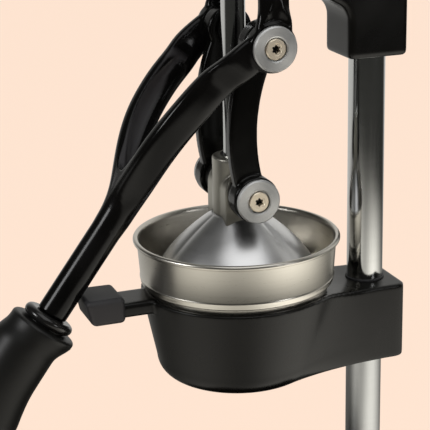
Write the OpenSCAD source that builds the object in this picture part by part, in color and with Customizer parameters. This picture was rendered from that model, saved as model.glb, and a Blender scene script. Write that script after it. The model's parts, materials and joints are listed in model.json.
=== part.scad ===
// Lever-operated citrus press: a column on a heavy base carries a bowl holder and a
// head. The forked lever turns on the head and drives a bell down a guide rod through
// two curved links. X is across the press, -Y is the side the lever opens towards,
// +Z is up. The origin is on the table under the middle of the overall box.

/* [Base] */
// Width of the base plate
base_w = 170; // [150:1:220]
// Length of the base plate, front to back
base_l = 210; // [200:1:260]
// Thickness of the base plate
base_t = 18; // [12:1:26]
// Corner radius of the base plate seen from above
base_corner_r = 26; // [16:1:34]
// Radius of the rounded upper edge of the base plate
base_edge_r = 6; // [2:1:8]
// Distance from the column's axis to the back edge of the base
base_back = 32; // [26:1:44]
// Diameter of the boss that holds the column
base_boss_d = 48; // [42:1:60]
// Height of that boss above the plate
base_boss_h = 8; // [4:1:14]
// Diameter of each rubber foot
foot_d = 28; // [22:1:34]
// Height of each foot below the plate
foot_h = 8; // [5:1:12]
// Distance from the plate's edges to each foot's axis
foot_inset = 24; // [20:1:34]

/* [Column] */
// Outside diameter of the column
column_d = 25; // [20:1:30]
// Wall thickness of the column
column_wall = 3; // [2:0.5:4]
// Distance from the press axis to the column's axis
column_reach = 96; // [90:1:110]
// Depth of the column's socket in the base
column_socket = 14; // [10:1:20]

/* [Bowl] */
// Height of the bowl's rim above the table
rim_h = 240; // [225:1:300]
// How far the rolled rim stands out from the wall, on each side
rim_over = 2.7; // [2.2:0.1:4]
// Thickness of the rolled rim
bead_d = 3.6; // [2:0.2:5]
// Outside diameter of the wall just below the rim
bowl_d = 134.6; // [126:0.2:136]
// How much the wall's diameter shrinks down to the step
bowl_taper = 3.4; // [0:0.2:6]
// Height from the rim to the step
bowl_h = 32; // [26:1:38]
// Sheet thickness of the bowl
bowl_wall = 1.2; // [0.8:0.1:2]
// How far the stepped bottom that sits in the holder stands in from the wall
bowl_step_in = 5.8; // [5:0.1:8]
// Outside diameter of the spout
spout_d = 24; // [18:1:30]
// How far the spout stands out below the holder
spout_drop = 12; // [6:1:20]

/* [Strainer] */
// Thickness of the strainer plate
strainer_t = 1; // [0.8:0.1:2]
// Diameter of one strainer hole
strainer_hole_d = 4; // [2:0.5:5]
// Number of holes in the outer ring
strainer_holes = 30; // [12:1:40]
// Diameter of the foot of the reamer cone
reamer_d = 84; // [70:1:90]
// Height of the reamer cone
reamer_h = 32; // [24:1:34]
// Number of flutes on the reamer cone
reamer_flutes = 12; // [6:1:16]

/* [Holder] */
// Wall of the holder's cup round the bowl's stepped bottom
holder_lip = 4.5; // [4:0.1:8]
// How much narrower the cup is at its foot than at its top
holder_taper = 20; // [8:1:30]
// Height of the cup
holder_h = 62.5; // [52:0.5:70]
// Radius of the rounded lower edge of the cup
holder_edge_r = 14; // [6:1:16]
// Gap that shows between the bowl's step and the cup
bowl_gap = 3.5; // [2:0.5:6]
// Wall thickness of the holder
holder_wall = 5; // [4:0.5:8]
// Width of the block around the column
neck_w = 54.5; // [50:0.5:64]
// How far the block's top lies below the cup's top
neck_drop = 8.6; // [0:0.1:10]
// Distance from the column's axis to the back of the block
neck_back = 19.5; // [18:0.5:24]
// How far behind the press axis the hollow beside the cup runs out, at the top
neck_blend_top = 92; // [86:1:100]
// The same at the foot
neck_blend_foot = 106; // [90:1:107]

/* [Stop] */
// Width of the stop arm
stop_arm_w = 28; // [20:1:32]
// Height of the stop arm
stop_arm_h = 10; // [8:1:12]
// Width of the rubber pad
stop_pad_w = 34; // [28:1:40]
// Height of the rubber pad
stop_pad_h = 17.7; // [14:0.1:22]
// Length of the rubber pad
stop_pad_l = 24; // [20:1:32]
// Edge radius of the rubber pad
stop_pad_r = 3; // [2:0.5:4]
// Gap between the closed lever and the pad
stop_gap = 0.3; // [0.2:0.1:1]

/* [Press] */
// Diameter of the guide rod
rod_d = 16; // [12:1:18]
// How far the guide rod stands out above the head when closed
rod_above = 8; // [4:1:20]
// Outside diameter of the hub's tube
hub_d = 31; // [28:1:34]
// Height of the hub's tube above its pivot
hub_above = 21.7; // [18:0.1:28]
// Width over the hub's two lugs
hub_w = 36; // [34:1:38]
// Radius of the lugs about the pivot
lug_r = 13.7; // [12:0.1:15]
// Height from the bell's edge to the hub's pivot
bell_drop = 60; // [58:1:70]
// Height of the bell
bell_h = 42.5; // [38:0.5:48]
// Outside diameter of the bell's edge
bell_d = 112; // [100:1:114]
// Sheet thickness of the bell
bell_wall = 1.6; // [1:0.1:2.5]
// Clear height between the closed bell and the strainer
bell_gap = 3; // [1:0.5:8]

/* [Linkage] */
// Distance from the lever's pivot to its knee
crank_l = 78.4; // [70:0.1:86]
// Angle by which the closed knee has gone past the dead centre
over_centre = 5.9; // [2:0.1:8]
// Distance between the two pivots of a link
link_l = 101; // [96:0.5:110]
// Width of a link
link_w = 19; // [16:0.5:22]
// Thickness of a link's plate
link_t = 9; // [6:0.5:10]
// How far a link bows forward
link_bow = 10.5; // [4:0.5:14]
// Radius of the bosses at every pivot
boss_r = 15.5; // [14:0.5:17]
// Radius of the machined pivot discs
disc_r = 14.5; // [12:0.5:16]
// Thickness of the machined pivot discs
disc_t = 3.4; // [2.5:0.1:4.5]
// Radius of the pivot pins
pin_r = 6; // [5:0.5:7]
// Clear gap between two pieces that turn against each other
side_gap = 0.3; // [0.2:0.05:0.6]
// Radial clearance of a running fit
run_fit = 0.05; // [0.02:0.01:0.1]

/* [Lever] */
// Distance from the middle to the outside of the lever's bosses
lever_half_w = 50; // [49:0.5:54]
// Thickness of the lever's bosses
lever_boss_t = 10.4; // [8:0.2:12]
// Depth of the lever's upper arms, front to back
arm_w = 20; // [16:0.5:24]
// Depth of the fork's arms
fork_w = 22.4; // [18:0.2:24]
// Distance from the middle to the middle of the fork's arms
fork_half = 38; // [36:0.5:40]
// Thickness of the upper arms
upper_arm_t = 6.3; // [5:0.1:8]
// Angle of the fork below the knee, from straight down
fork_angle = 39.7; // [34:0.1:44]
// Length of the fork, from the knee to where its arms join
fork_l = 140; // [130:1:150]
// How far the fork's arms bow up and forward
fork_bow = 14.5; // [8:0.1:16]
// Radius of the round bar below the fork
bar_r = 10.3; // [8:0.1:12]
// Length of the bar from the fork to the grip's ring
bar_l = 81.5; // [70:0.5:100]
// Angle of the bar from straight down
bar_angle = 36.8; // [32:0.1:42]
// Length of the grip
grip_l = 128; // [110:1:150]
// Radius of the grip's flange
grip_flange_r = 23; // [20:0.5:25]
// Radius of the grip's neck
grip_neck_r = 17.3; // [15:0.1:19]
// Radius of the grip's swell
grip_swell_r = 22.4; // [19:0.1:24]

/* [Head] */
// Width of the head
head_w = 39.5; // [36:0.5:44]
// Height of the head's block below the lever's pivot
head_drop = 97; // [90:1:104]
// Distance from the column's axis to the block's front
head_front = 22; // [19:0.5:26]
// Distance from the column's axis to the block's back
head_back = 20.7; // [18:0.1:26]
// Radius of the boss around the guide rod
guide_boss_r = 19; // [17:0.5:22]
// Radius of the bosses that carry the lever
head_boss_r = 16.5; // [15:0.5:18]
// Length of a guide bush
guide_bush_l = 16; // [12:1:24]

/* [Hidden] */
$fn = 96;
// Clearance of pieces that are pushed or screwed together
seat_fit = 0.05;

// ---- Heights, from the table up ----
base_top = foot_h + base_t;
rim_d = bowl_d + 2 * rim_over;
bowl_step_d = bowl_d - 2 * bowl_step_in;
holder_d = bowl_step_d + 2 * holder_lip;
holder_foot_d = holder_d - holder_taper;
step_h = rim_h - bowl_h;
holder_top = step_h - bowl_gap;
holder_bottom = holder_top - holder_h;
strainer_h = step_h + bowl_wall + seat_fit;
bell_edge = strainer_h + strainer_t + bell_gap;
lug_h = bell_edge + bell_drop;
bell_top = bell_edge + bell_h;
hub_top = lug_h + hub_above;
knee_y = crank_l * sin(over_centre);
pivot_h = lug_h + sqrt(link_l * link_l - knee_y * knee_y) + crank_l * cos(over_centre);
knee_h = pivot_h - crank_l * cos(over_centre);
head_bottom = pivot_h - head_drop;
guide_low = pivot_h - 32;
guide_high = pivot_h + 32;
head_top = pivot_h + 24;
column_top = head_top - 26;
rod_top = guide_high + rod_above;

// ---- Plan, from the press axis ----
column_r = column_d / 2;
base_rear = column_reach + base_back;
base_front = base_rear - base_l;
neck_rear = column_reach + neck_back;

// ---- Widths of the linkage, from the middle out ----
knee_in = lever_half_w - lever_boss_t;
link_out = knee_in - side_gap;
link_plate_out = link_out - 4.5;
link_in = link_plate_out - link_t;
lug_half = hub_w / 2;
lug_disc_in = link_out + side_gap;
lever_disc_in = lever_half_w + side_gap;

// ---- Small parts ----
screw_head_r = 6.6;
screw_head_t = 2.4;
screw_r = 3;
ring_groove = 0.9;
hex_r = 2.6;
bush_wall = 2;
ring_r = 3.6;
washer_t = 0.6;
bell_screw_r = 4;
bell_nut_gap = 1;
rod_seat = 10;
block_corner_r = 7;
block_edge_r = 1.5;
dip_start = 40;
dip_end = 66;
fork_root_t = 4.4;
fork_root_l = 32;
fork_crest = 0.443 * fork_l;
fork_crotch = 0.957 * fork_l;
fork_lift = 0.26;
fork_end = fork_l + 6;
fork_tip = fork_l + 20;
fork_tip_r = bar_r - 0.1;

// ---- Lever, in its own plane: along the fork, and square to it ----
fork_dir = [0, -sin(fork_angle), -cos(fork_angle)];
fork_up = [0, -cos(fork_angle), sin(fork_angle)];
bar_dir = [0, -sin(bar_angle), -cos(bar_angle)];
bar_back = [0, cos(bar_angle), -sin(bar_angle)];
knee = [0, knee_y, knee_h];
bar_start = knee + fork_l * fork_dir;
grip_start = bar_l + 2 * ring_r + washer_t + 3 * seat_fit;
grip_end_r = 15;
tang_r = bar_r - 3;
tang_short = 34;
grip_tip = bar_start + (grip_start + grip_l - grip_end_r) * bar_dir;

// The press axis stands clear of the origin, so that the box is centred on it
press_y = -(grip_tip[1] - grip_end_r + base_rear) / 2;

// ---- Stop pad: its upper front edge lies just clear of the bar's back ----
stop_top = holder_top + 6.5;
stop_edge_h = stop_top - stop_pad_r;
stop_reach = bar_r + stop_gap + stop_pad_r;
stop_edge_y = bar_start[1]
    + (stop_reach - (stop_edge_h - bar_start[2]) * bar_back[2]) / bar_back[1];
stop_arm_top = holder_top + 1;

// Moves a piece from the press axis to its place over the origin
module on_axis() {
    translate([0, press_y, 0]) children();
}

// Turns the Z axis to the X axis
module along_x() {
    rotate([0, 90, 0]) children();
}

// Repeats a piece on both sides of the press
module both_sides() {
    children();
    mirror([1, 0, 0]) children();
}

// A cylinder along X, from one distance from the middle to another
module x_cyl(r, from, to, y = 0, z = 0) {
    translate([from, y, z]) along_x() cylinder(r = r, h = to - from);
}

// A hexagonal hole along Z
module hex_hole(r, h) {
    cylinder(r = r, h = h, $fn = 6);
}

// Points of an arc from one angle to another
function arc(c, r, a0, a1, n = 8) =
    [for (i = [0:n]) c + r * [cos(a0 + (a1 - a0) * i / n), sin(a0 + (a1 - a0) * i / n)]];

// A closed skin through rings of points that all have the same number of points
module skin(rings) {
    m = len(rings);
    n = len(rings[0]);
    pts = [for (r = rings) each r];
    sides = [for (i = [0:m - 2], j = [0:n - 1])
        [i * n + j, (i + 1) * n + j, (i + 1) * n + (j + 1) % n, i * n + (j + 1) % n]];
    ends = [[for (j = [0:n - 1]) j], [for (j = [n - 1:-1:0]) (m - 1) * n + j]];
    polyhedron(points = pts, faces = concat(sides, ends), convexity = 6);
}

// A machined disc with a recess round its screw, facing +X
module pivot_disc(from) {
    difference() {
        x_cyl(disc_r, from, from + disc_t);
        x_cyl(screw_r + seat_fit, from - 1, from + disc_t + 1);
        x_cyl(screw_head_r + ring_groove, from + disc_t - screw_head_t, from + disc_t + 1);
    }
}

// A socket screw whose head lies in the recess of a disc, facing +X
module pivot_screw(from, shank) {
    difference() {
        union() {
            x_cyl(screw_head_r, from + disc_t - screw_head_t + seat_fit, from + disc_t - 0.2);
            x_cyl(screw_r, from - shank, from + disc_t - 1);
        }
        translate([from + disc_t - screw_head_t + 0.8, 0, 0]) along_x() hex_hole(hex_r, 4);
    }
}

// ---- Base ----
module base_plate() {
    cx = base_w / 2 - base_corner_r;
    cy = base_l / 2 - base_corner_r;
    mid = (base_front + base_rear) / 2;
    color("#26262a") on_axis() difference() {
        union() {
            hull() for (x = [-cx, cx], y = [mid - cy, mid + cy])
                translate([x, y, foot_h]) rotate_extrude($fn = 48) polygon(concat(
                    [[0, 0], [base_corner_r - 1, 0], [base_corner_r, 1]],
                    arc([base_corner_r - base_edge_r, base_t - base_edge_r],
                        base_edge_r, 0, 90, 5), [[0, base_t]]));
            translate([0, column_reach, base_top - 1])
                cylinder(d = base_boss_d, h = base_boss_h + 1);
        }
        translate([0, column_reach, base_top + base_boss_h - column_socket])
            cylinder(r = column_r + seat_fit, h = column_socket + 1);
        translate([0, column_reach, 0]) cylinder(r = 5.2, h = 60);
        translate([0, column_reach, foot_h - 1]) cylinder(r = 15, h = 5.5);
        foot_places() translate([0, 0, foot_h - 1]) cylinder(r = 2.1, h = 11);
    }
}

// Repeats a piece at the four feet
module foot_places() {
    for (x = [-1, 1], y = [base_front + foot_inset, base_rear - foot_inset])
        translate([x * (base_w / 2 - foot_inset), y, 0]) children();
}

module base_feet() {
    color("#17171a") on_axis() foot_places() difference() {
        rotate_extrude() polygon([[0, 0], [foot_d / 2 - 2, 0], [foot_d / 2, 2],
            [foot_d / 2 - 1, foot_h - seat_fit], [0, foot_h - seat_fit]]);
        translate([0, 0, -1]) cylinder(r = 2.1, h = foot_h + 2);
        translate([0, 0, -1]) cylinder(r = 5, h = 4.5);
    }
}

module foot_screws() {
    color("silver") on_axis() foot_places() {
        translate([0, 0, 1.2]) cylinder(r = 4, h = 2.25);
        translate([0, 0, 3]) cylinder(r = 2, h = foot_h + 5);
    }
}

// ---- Column ----
module column() {
    low = base_top + base_boss_h - column_socket;
    color("#c9c9c7") on_axis() translate([0, column_reach, low + seat_fit]) difference() {
        cylinder(r = column_r, h = column_top - low - seat_fit);
        translate([0, 0, -1]) cylinder(r = column_r - column_wall, h = column_top - low + 2);
    }
}

module column_plug() {
    low = base_top + base_boss_h - column_socket;
    color("#8d8d8a") on_axis() translate([0, column_reach, low + seat_fit]) difference() {
        cylinder(r = column_r - column_wall - seat_fit, h = 30);
        translate([0, 0, -1]) cylinder(r = 5 + seat_fit, h = 24);
    }
}

module column_washer() {
    color("silver") on_axis() translate([0, column_reach, foot_h + 4.5 - 2.05]) difference() {
        cylinder(r = 14, h = 2);
        translate([0, 0, -1]) cylinder(r = 5.3, h = 4);
    }
}

module column_bolt() {
    top = foot_h + 4.5 - 2.1;
    color("#5c5c5c") on_axis() translate([0, column_reach, top]) {
        translate([0, 0, -6.4]) difference() {
            cylinder(r = 8, h = 6.4, $fn = 48);
            translate([0, 0, -1]) hex_hole(4.6, 4.5);
        }
        translate([0, 0, -0.5]) cylinder(r = 5, h = 26);
    }
}

// ---- Bowl holder ----
// Outline of the holder at a height, for a cup radius r, a hollow that runs out at y = end,
// and a block drawn in by d: the cup's front, the hollow blends and the block's back
function holder_plan(r, end, d, n = 12) =
    let (half = neck_w / 2 - d, back = neck_rear - d, corner = block_corner_r,
        blend = (end * end - r * r + half * half) / (2 * (r - half)),
        start = atan2(end, half + blend),
        right = concat(arc([0, 0], r, -90, start, 2 * n),
            arc([half + blend, end], blend, 180 + start - start / n, 180, n),
            arc([half - corner, back - corner], corner, 0, 90, 5),
            [[0, back]]))
    concat(right, [for (i = [len(right) - 2:-1:1]) [-right[i][0], right[i][1]]]);

// Height of a point t of the way round a quarter-round of radius r at the foot, and
// how far that quarter-round draws in at a height z
function round_z(r, t) = r * (1 - cos(90 * t));
function round_in(r, z) = z < r ? r - sqrt(r * r - pow(r - z, 2)) : 0;

// Cup radius at a height over the holder's foot
function holder_r(z) = holder_foot_d / 2 - round_in(holder_edge_r, z)
    + (holder_d - holder_foot_d) / 2 * max(z - holder_edge_r, 0) / (holder_h - holder_edge_r);

// The holder's outside, drawn through its plans; the block's top dips behind the cup
module holder_body() {
    heights = concat([for (i = [0:6]) round_z(holder_edge_r, i / 6)],
        [for (i = [1:6]) holder_edge_r + (holder_h - holder_edge_r) * i / 6]);
    difference() {
        skin([for (z = heights) [for (p = holder_plan(holder_r(z),
                neck_blend_foot + (neck_blend_top - neck_blend_foot) * z / holder_h,
                round_in(block_edge_r, z)))
            [p[0], p[1], holder_bottom + z]]]);
        rotate([90, 0, 90]) translate([0, 0, -neck_w]) linear_extrude(height = 2 * neck_w)
            holder_dip();
    }
}

// What is cut away over the block, seen from the side
module holder_dip() {
    n = 10;
    over = 1;
    low = holder_top - neck_drop;
    polygon(concat(
        [for (i = [0:n]) [dip_start + (dip_end - dip_start) * i / n,
            holder_top - neck_drop * (1 - cos(180 * i / n)) / 2]],
        [[neck_rear + over, low], [neck_rear + over, holder_top + over],
         [dip_start, holder_top + over]]));
}

module bowl_holder() {
    r_in = bowl_step_d / 2;
    deep = holder_edge_r * 0.6;
    color("#1f1f21") on_axis() difference() {
        union() {
            holder_body();
            stop_arm();
        }
        rotate_extrude() polygon([[0, holder_bottom + holder_wall],
            [r_in - 16, holder_bottom + holder_wall], [r_in - 11, holder_bottom + 14],
            [r_in - 4, holder_top - 9], [r_in - 4, holder_top - 4],
            [r_in + 0.3, holder_top - 4], [r_in + 0.3, holder_top + 1], [0, holder_top + 1]]);
        translate([0, 0, holder_bottom - 1]) cylinder(d = spout_d + 1, h = deep + 10);
        translate([0, column_reach, holder_bottom - 1])
            cylinder(r = column_r + seat_fit, h = holder_h + 2);
        holder_screw_places() rotate([90, 0, 0]) cylinder(r = 4 + seat_fit, h = neck_back);
    }
}

// The bar in front of the holder that carries the rubber pad
module stop_arm() {
    y0 = stop_edge_y + 6;
    groove = 1.2;
    difference() {
        translate([-stop_arm_w / 2, y0, stop_arm_top - stop_arm_h])
            cube([stop_arm_w, -y0 - holder_d / 2 + 8, stop_arm_h]);
        for (x = [-stop_arm_w / 2 - 1, stop_arm_w / 2 - groove])
            translate([x, y0 - 1, stop_arm_top - stop_arm_h + 2])
                cube([groove + 1, -y0 - holder_d / 2 - 1, stop_arm_h - 4]);
    }
}

module stop_pad() {
    x = stop_pad_w / 2 - stop_pad_r;
    low = stop_edge_h - stop_pad_h + 2 * stop_pad_r;
    back = stop_edge_y + stop_pad_l - stop_pad_r;
    color("#141416") on_axis() difference() {
        hull() for (s = [-1, 1]) {
            translate([s * x, stop_edge_y, stop_edge_h]) sphere(r = stop_pad_r, $fn = 32);
            translate([s * x, stop_edge_y + 4, low]) sphere(r = stop_pad_r, $fn = 32);
            translate([s * x, back, low]) sphere(r = stop_pad_r, $fn = 32);
            translate([s * (x - 2), back, stop_edge_h]) sphere(r = stop_pad_r, $fn = 32);
        }
        translate([-stop_arm_w / 2 - seat_fit, stop_edge_y + 6 - seat_fit,
            stop_arm_top - stop_arm_h - seat_fit])
            cube([stop_arm_w + 2 * seat_fit, 60, stop_arm_h + 2 * seat_fit]);
    }
}

// Places of the two set screws at the back of the block
module holder_screw_places() {
    for (z = [holder_bottom + 16, holder_top - neck_drop - 16])
        translate([0, neck_rear + 1, z]) children();
}

module set_screw(r, l) {
    difference() {
        cylinder(r = r, h = l);
        translate([0, 0, -1]) hex_hole(r * 0.55, l * 0.5 + 1);
    }
}

module holder_screws() {
    l = neck_back - column_r - 2;
    color("#3a3a3c") on_axis() holder_screw_places()
        translate([0, -1 - neck_back + column_r + seat_fit + l, 0])
            rotate([90, 0, 0]) set_screw(4, l);
}

// ---- Bowl ----
module juice_bowl() {
    r1 = bowl_d / 2;
    r2 = (bowl_d - bowl_taper) / 2;
    r3 = bowl_step_d / 2;
    rs = spout_d / 2;
    w = bowl_wall;
    bead = bead_d / 2;
    rb = rim_d / 2 - bead;
    seat = holder_top - 4 + seat_fit;
    funnel = holder_bottom + 26;
    end = holder_bottom - spout_drop;
    color("#b9b5ab") on_axis() rotate_extrude() polygon(concat(
        [[rs - w, end], [rs, end], [rs, funnel], [r3 - 6, seat], [r3 - 1.5, seat],
         [r3, seat + 1.5], [r3, step_h]],
        arc([r2 - 2, step_h + 2], 2, -90, 0, 5),
        [[r2 + 0.1, step_h + 4], [r2 + 0.5, step_h + 4.6], [r2 + 0.5, step_h + 5.4],
         [r2 + 0.2, step_h + 6], [r1, rim_h - 2 * bead]],
        arc([rb, rim_h - bead], bead, -70, 160, 12),
        [[r1 - w, rim_h - 2 * bead], [r2 + 0.2 - w, step_h + 6], [r2 - w, step_h + w],
         [r3 - w, step_h + w - 0.01], [r3 - w, seat + w], [r3 - 6 - w, seat + w],
         [rs - w, funnel + w]]));
}

module strainer_plate() {
    r = (bowl_d - bowl_taper) / 2 - bowl_wall - 1;
    color("#a8a49a") on_axis() translate([0, 0, strainer_h]) difference() {
        union() {
            cylinder(r = r, h = strainer_t);
            translate([0, 0, -5]) cylinder(r = 6 - seat_fit, h = 6);
        }
        for (ring = [0:2], i = [0:strainer_holes - 1])
            rotate([0, 0, (i + ring / 2) * 360 / strainer_holes])
                translate([reamer_d / 2 + 3.5 + ring * 5.2, 0, -1])
                    cylinder(d = strainer_hole_d, h = 3, $fn = 16);
    }
}

// The fluted cone that an orange half is pressed on
module reamer_cone() {
    n = 14;
    m = reamer_flutes * 6;
    r = reamer_d / 2;
    color("#b4b1a8") on_axis() translate([0, 0, strainer_h + strainer_t + seat_fit])
        skin([for (i = [0:n]) let (t = i / n, rr = r * cos(90 * t * 0.98),
            h = reamer_h * sin(90 * t))
            [for (j = [0:m - 1]) let (a = 360 * j / m,
                f = rr * (1 - 0.1 * (t < 0.05 ? 0 : 1) * (1 - cos(reamer_flutes * a)) / 2))
                [f * cos(a), f * sin(a), h]]]);
}

// ---- Head ----
// Side view of the head: block, arched back, nose over the press axis
module head_side() {
    yb = column_reach + head_back;
    yf = column_reach - head_front;
    polygon(concat([[yf, head_bottom], [yb, head_bottom]],
        arc([yb - 38, head_top - 34], 38, 0, 78, 8),
        [[guide_boss_r * 0.5, guide_high - 3], [0, guide_high - 3], [0, guide_low + 3],
         [guide_boss_r * 0.6, guide_low + 3]],
        arc([yf - 14, head_bottom + 25], 14, 70, 0, 5)));
}

module head_casting() {
    color("#1d1d1f") on_axis() difference() {
        union() {
            rotate([90, 0, 90]) translate([0, 0, -head_w / 2])
                linear_extrude(height = head_w) head_side();
            translate([0, 0, guide_low])
                cylinder(d = head_w, h = guide_high - guide_low);
            x_cyl(head_boss_r, -knee_in - 1.5, knee_in + 1.5, 0, pivot_h);
        }
        translate([0, column_reach, head_bottom - 1])
            cylinder(r = column_r + seat_fit, h = column_top - head_bottom + 1);
        translate([0, 0, guide_low - 1]) cylinder(r = rod_d / 2 + bush_wall + seat_fit, h = 90);
        both_sides() x_cyl(pin_r + seat_fit, 19, 70, 0, pivot_h);
        head_screw_places() rotate([90, 0, 0]) cylinder(r = 4 + seat_fit, h = head_back);
    }
}

// Places of the two set screws at the back of the head
module head_screw_places() {
    for (z = [head_bottom + 14, head_bottom + 42])
        translate([0, column_reach + head_back + 1, z]) children();
}

module head_screws() {
    l = head_back - column_r - 2;
    color("#3a3a3c") on_axis() head_screw_places()
        translate([0, -1 - head_back + column_r + seat_fit + l, 0])
            rotate([90, 0, 0]) set_screw(4, l);
}

module guide_bushes() {
    color("#b08d4a") on_axis() for (z = [guide_low, guide_high - guide_bush_l])
        translate([0, 0, z]) difference() {
            cylinder(r = rod_d / 2 + bush_wall, h = guide_bush_l);
            translate([0, 0, -1]) cylinder(r = rod_d / 2 + run_fit, h = guide_bush_l + 2);
        }
}

// ---- Pivots of the lever on the head ----
module pivot_pins() {
    color("#8f8f8f") on_axis() translate([0, 0, pivot_h]) both_sides() difference() {
        x_cyl(pin_r, 19.5, lever_half_w + side_gap - seat_fit);
        x_cyl(screw_r + seat_fit, lever_half_w - 14, lever_half_w + 2);
    }
}

module pivot_discs() {
    color("#9a9b9c") on_axis() translate([0, 0, pivot_h]) both_sides()
        pivot_disc(lever_disc_in);
}

module pivot_screws() {
    color("#c4b79c") on_axis() translate([0, 0, pivot_h]) both_sides()
        pivot_screw(lever_disc_in, 12);
}

// ---- Lever ----
// Middle line of one fork arm: distance out from the middle, and bow off the fork's line
function fork_x(s) = fork_half * cos(90 * pow(s / fork_crotch, 1.6))
    + (lever_half_w - lever_boss_t / 2 - fork_half) * exp(-pow(s / fork_root_l, 6));
function fork_rise(s) = fork_bow * (s < fork_crest
    ? fork_lift + (1 - fork_lift) * sin(90 * pow(s / fork_crest, 0.9))
    : pow(cos(90 * pow((min(s, fork_end) - fork_crest) / (fork_end - fork_crest), 1.3)), 1.8));
function fork_half_t(s) = fork_root_t + (fork_tip_r - fork_root_t) * pow(min(s / fork_l, 1), 1.5);
function fork_half_w(s) = s < fork_crotch ? fork_w / 2 : fork_tip_r + (fork_w / 2 - fork_tip_r)
    * pow(cos(90 * (s - fork_crotch) / (fork_tip - fork_crotch)), 2);
function fork_middle(s) = fork_rise(s) * fork_up
    + (s < fork_l ? knee + s * fork_dir : bar_start + (s - fork_l) * bar_dir);

// One cross-section of a fork arm: a rounded oblong that turns round towards the bar
function fork_ring(s, x, n = 20) = let (p = 2 / (4 - 2 * pow(min(s / fork_l, 1), 2)))
    [for (i = [0:n - 1]) let (a = 360 * i / n, ca = cos(a), sa = sin(a))
        fork_middle(s) + [x + fork_half_t(s) * sign(ca) * pow(abs(ca), p), 0, 0]
            + fork_half_w(s) * sign(sa) * pow(abs(sa), p) * fork_up];

module fork_arm() {
    n = 22;
    root = 2;
    tip = fork_crotch - 0.5;
    skin([for (i = [0:n]) let (s = root + (tip - root) * i / n) fork_ring(s, fork_x(s))]);
}

// Where the two arms have met, and run into the bar
module fork_throat() {
    n = 12;
    start = fork_crotch - 10;
    skin([for (i = [0:n]) fork_ring(start + (fork_tip - start) * i / n, 0)]);
}

// Upper arm between the pivot and the knee, with the raised rib on its outside
module upper_arm() {
    out = lever_half_w - 1.7;
    rib = 4.5;
    translate([0, 0, pivot_h]) rotate([over_centre, 0, 0]) {
        translate([out - upper_arm_t, -arm_w / 2 - 0.5, -crank_l])
            cube([upper_arm_t, arm_w + 1, crank_l]);
        translate([out - 1, -rib / 2, -crank_l + boss_r - 4])
            cube([2.4, rib, crank_l - 2 * boss_r + 8]);
    }
}

module lever_casting() {
    tang = grip_start + grip_l - tang_short;
    color("#19191b") on_axis() difference() {
        union() {
            both_sides() {
                x_cyl(boss_r + 0.5, knee_in, lever_half_w, knee_y, knee_h);
                x_cyl(boss_r + 0.5, knee_in + 1.8, lever_half_w, 0, pivot_h);
                upper_arm();
                fork_arm();
            }
            fork_throat();
            translate(bar_start) rotate([180 - bar_angle, 0, 0]) {
                cylinder(r = bar_r, h = bar_l);
                cylinder(r = tang_r, h = tang);
            }
        }
        both_sides() {
            x_cyl(pin_r + seat_fit, knee_in - 3, lever_half_w + 1, knee_y, knee_h);
            x_cyl(pin_r + bush_wall + seat_fit, knee_in - 3, lever_half_w + 1, 0, pivot_h);
        }
    }
}

module pivot_bushes() {
    color("#b08d4a") on_axis() translate([0, 0, pivot_h]) both_sides() difference() {
        x_cyl(pin_r + bush_wall, knee_in + 1.8, lever_half_w);
        x_cyl(pin_r + run_fit, knee_in, lever_half_w + 1);
    }
}

// Puts a piece at the knee
module at_knee() {
    on_axis() translate(knee) children();
}

module knee_pins() {
    color("#8f8f8f") at_knee() both_sides() difference() {
        x_cyl(pin_r, knee_in, lever_half_w - seat_fit);
        x_cyl(screw_r + seat_fit, knee_in + 0.6, lever_half_w + 2);
    }
}

module knee_discs() {
    color("#8b8d90") at_knee() both_sides() pivot_disc(lever_half_w);
}

module knee_screws() {
    color("#c4b79c") at_knee() both_sides() pivot_screw(lever_half_w, lever_boss_t - 1);
}

// Puts a piece on the bar's axis, a distance along it
module on_bar(s) {
    on_axis() translate(bar_start + s * bar_dir) rotate([180 - bar_angle, 0, 0]) children();
}

module grip_ring() {
    r = ring_r;
    color("#101012") on_bar(bar_l + seat_fit) rotate_extrude() polygon(concat(
        [[tang_r + seat_fit, 0], [bar_r + r, 0]],
        arc([bar_r + r, r], r, -90, 90, 8), [[tang_r + seat_fit, 2 * r]]));
}

module grip_washer() {
    color("#101012") on_bar(bar_l + 2 * ring_r + 2 * seat_fit) difference() {
        cylinder(r = bar_r + ring_r, h = washer_t);
        translate([0, 0, -1]) cylinder(r = tang_r + seat_fit, h = washer_t + 2);
    }
}

// Radius of the grip a distance behind its flange: neck, swell and taper to the end
function grip_r(t) = let (neck = 16, swell = grip_l * 0.5, end = grip_l - grip_end_r)
    t < neck ? grip_neck_r + (grip_flange_r - grip_neck_r) * pow(1 - (t - 5) / (neck - 5), 2)
    : t < swell ? grip_neck_r + (grip_swell_r - grip_neck_r)
        * (1 - cos(180 * (t - neck) / (swell - neck))) / 2
    : grip_end_r + (grip_swell_r - grip_end_r) * (1 + cos(180 * (t - swell) / (end - swell))) / 2;

module grip() {
    end = grip_l - grip_end_r;
    n = 24;
    color("#1b1b1b") on_bar(grip_start) difference() {
        rotate_extrude() polygon(concat([[0, 0]],
            arc([grip_flange_r - 2.5, 2.5], 2.5, -90, 0, 5),
            [for (i = [0:n]) let (t = 5 + (end - 5) * i / n) [grip_r(t), t]],
            arc([0, end], grip_end_r, 0, 90, 8)));
        translate([0, 0, -1]) cylinder(r = tang_r + seat_fit, h = grip_l - tang_short + 1.5);
    }
}

// ---- Press ----
module guide_rod() {
    low = lug_h - rod_seat;
    color("#c2c2c2") on_axis() translate([0, 0, low]) cylinder(d = rod_d, h = rod_top - low - 3);
}

module rod_cap() {
    color("#2a2a2c") on_axis() translate([0, 0, rod_top - 3 + seat_fit]) rotate_extrude()
        polygon([[0, 0], [rod_d / 2, 0], [rod_d / 2, 1], [rod_d / 2 - 2, 3 - seat_fit],
            [0, 3 - seat_fit]]);
}

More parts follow.
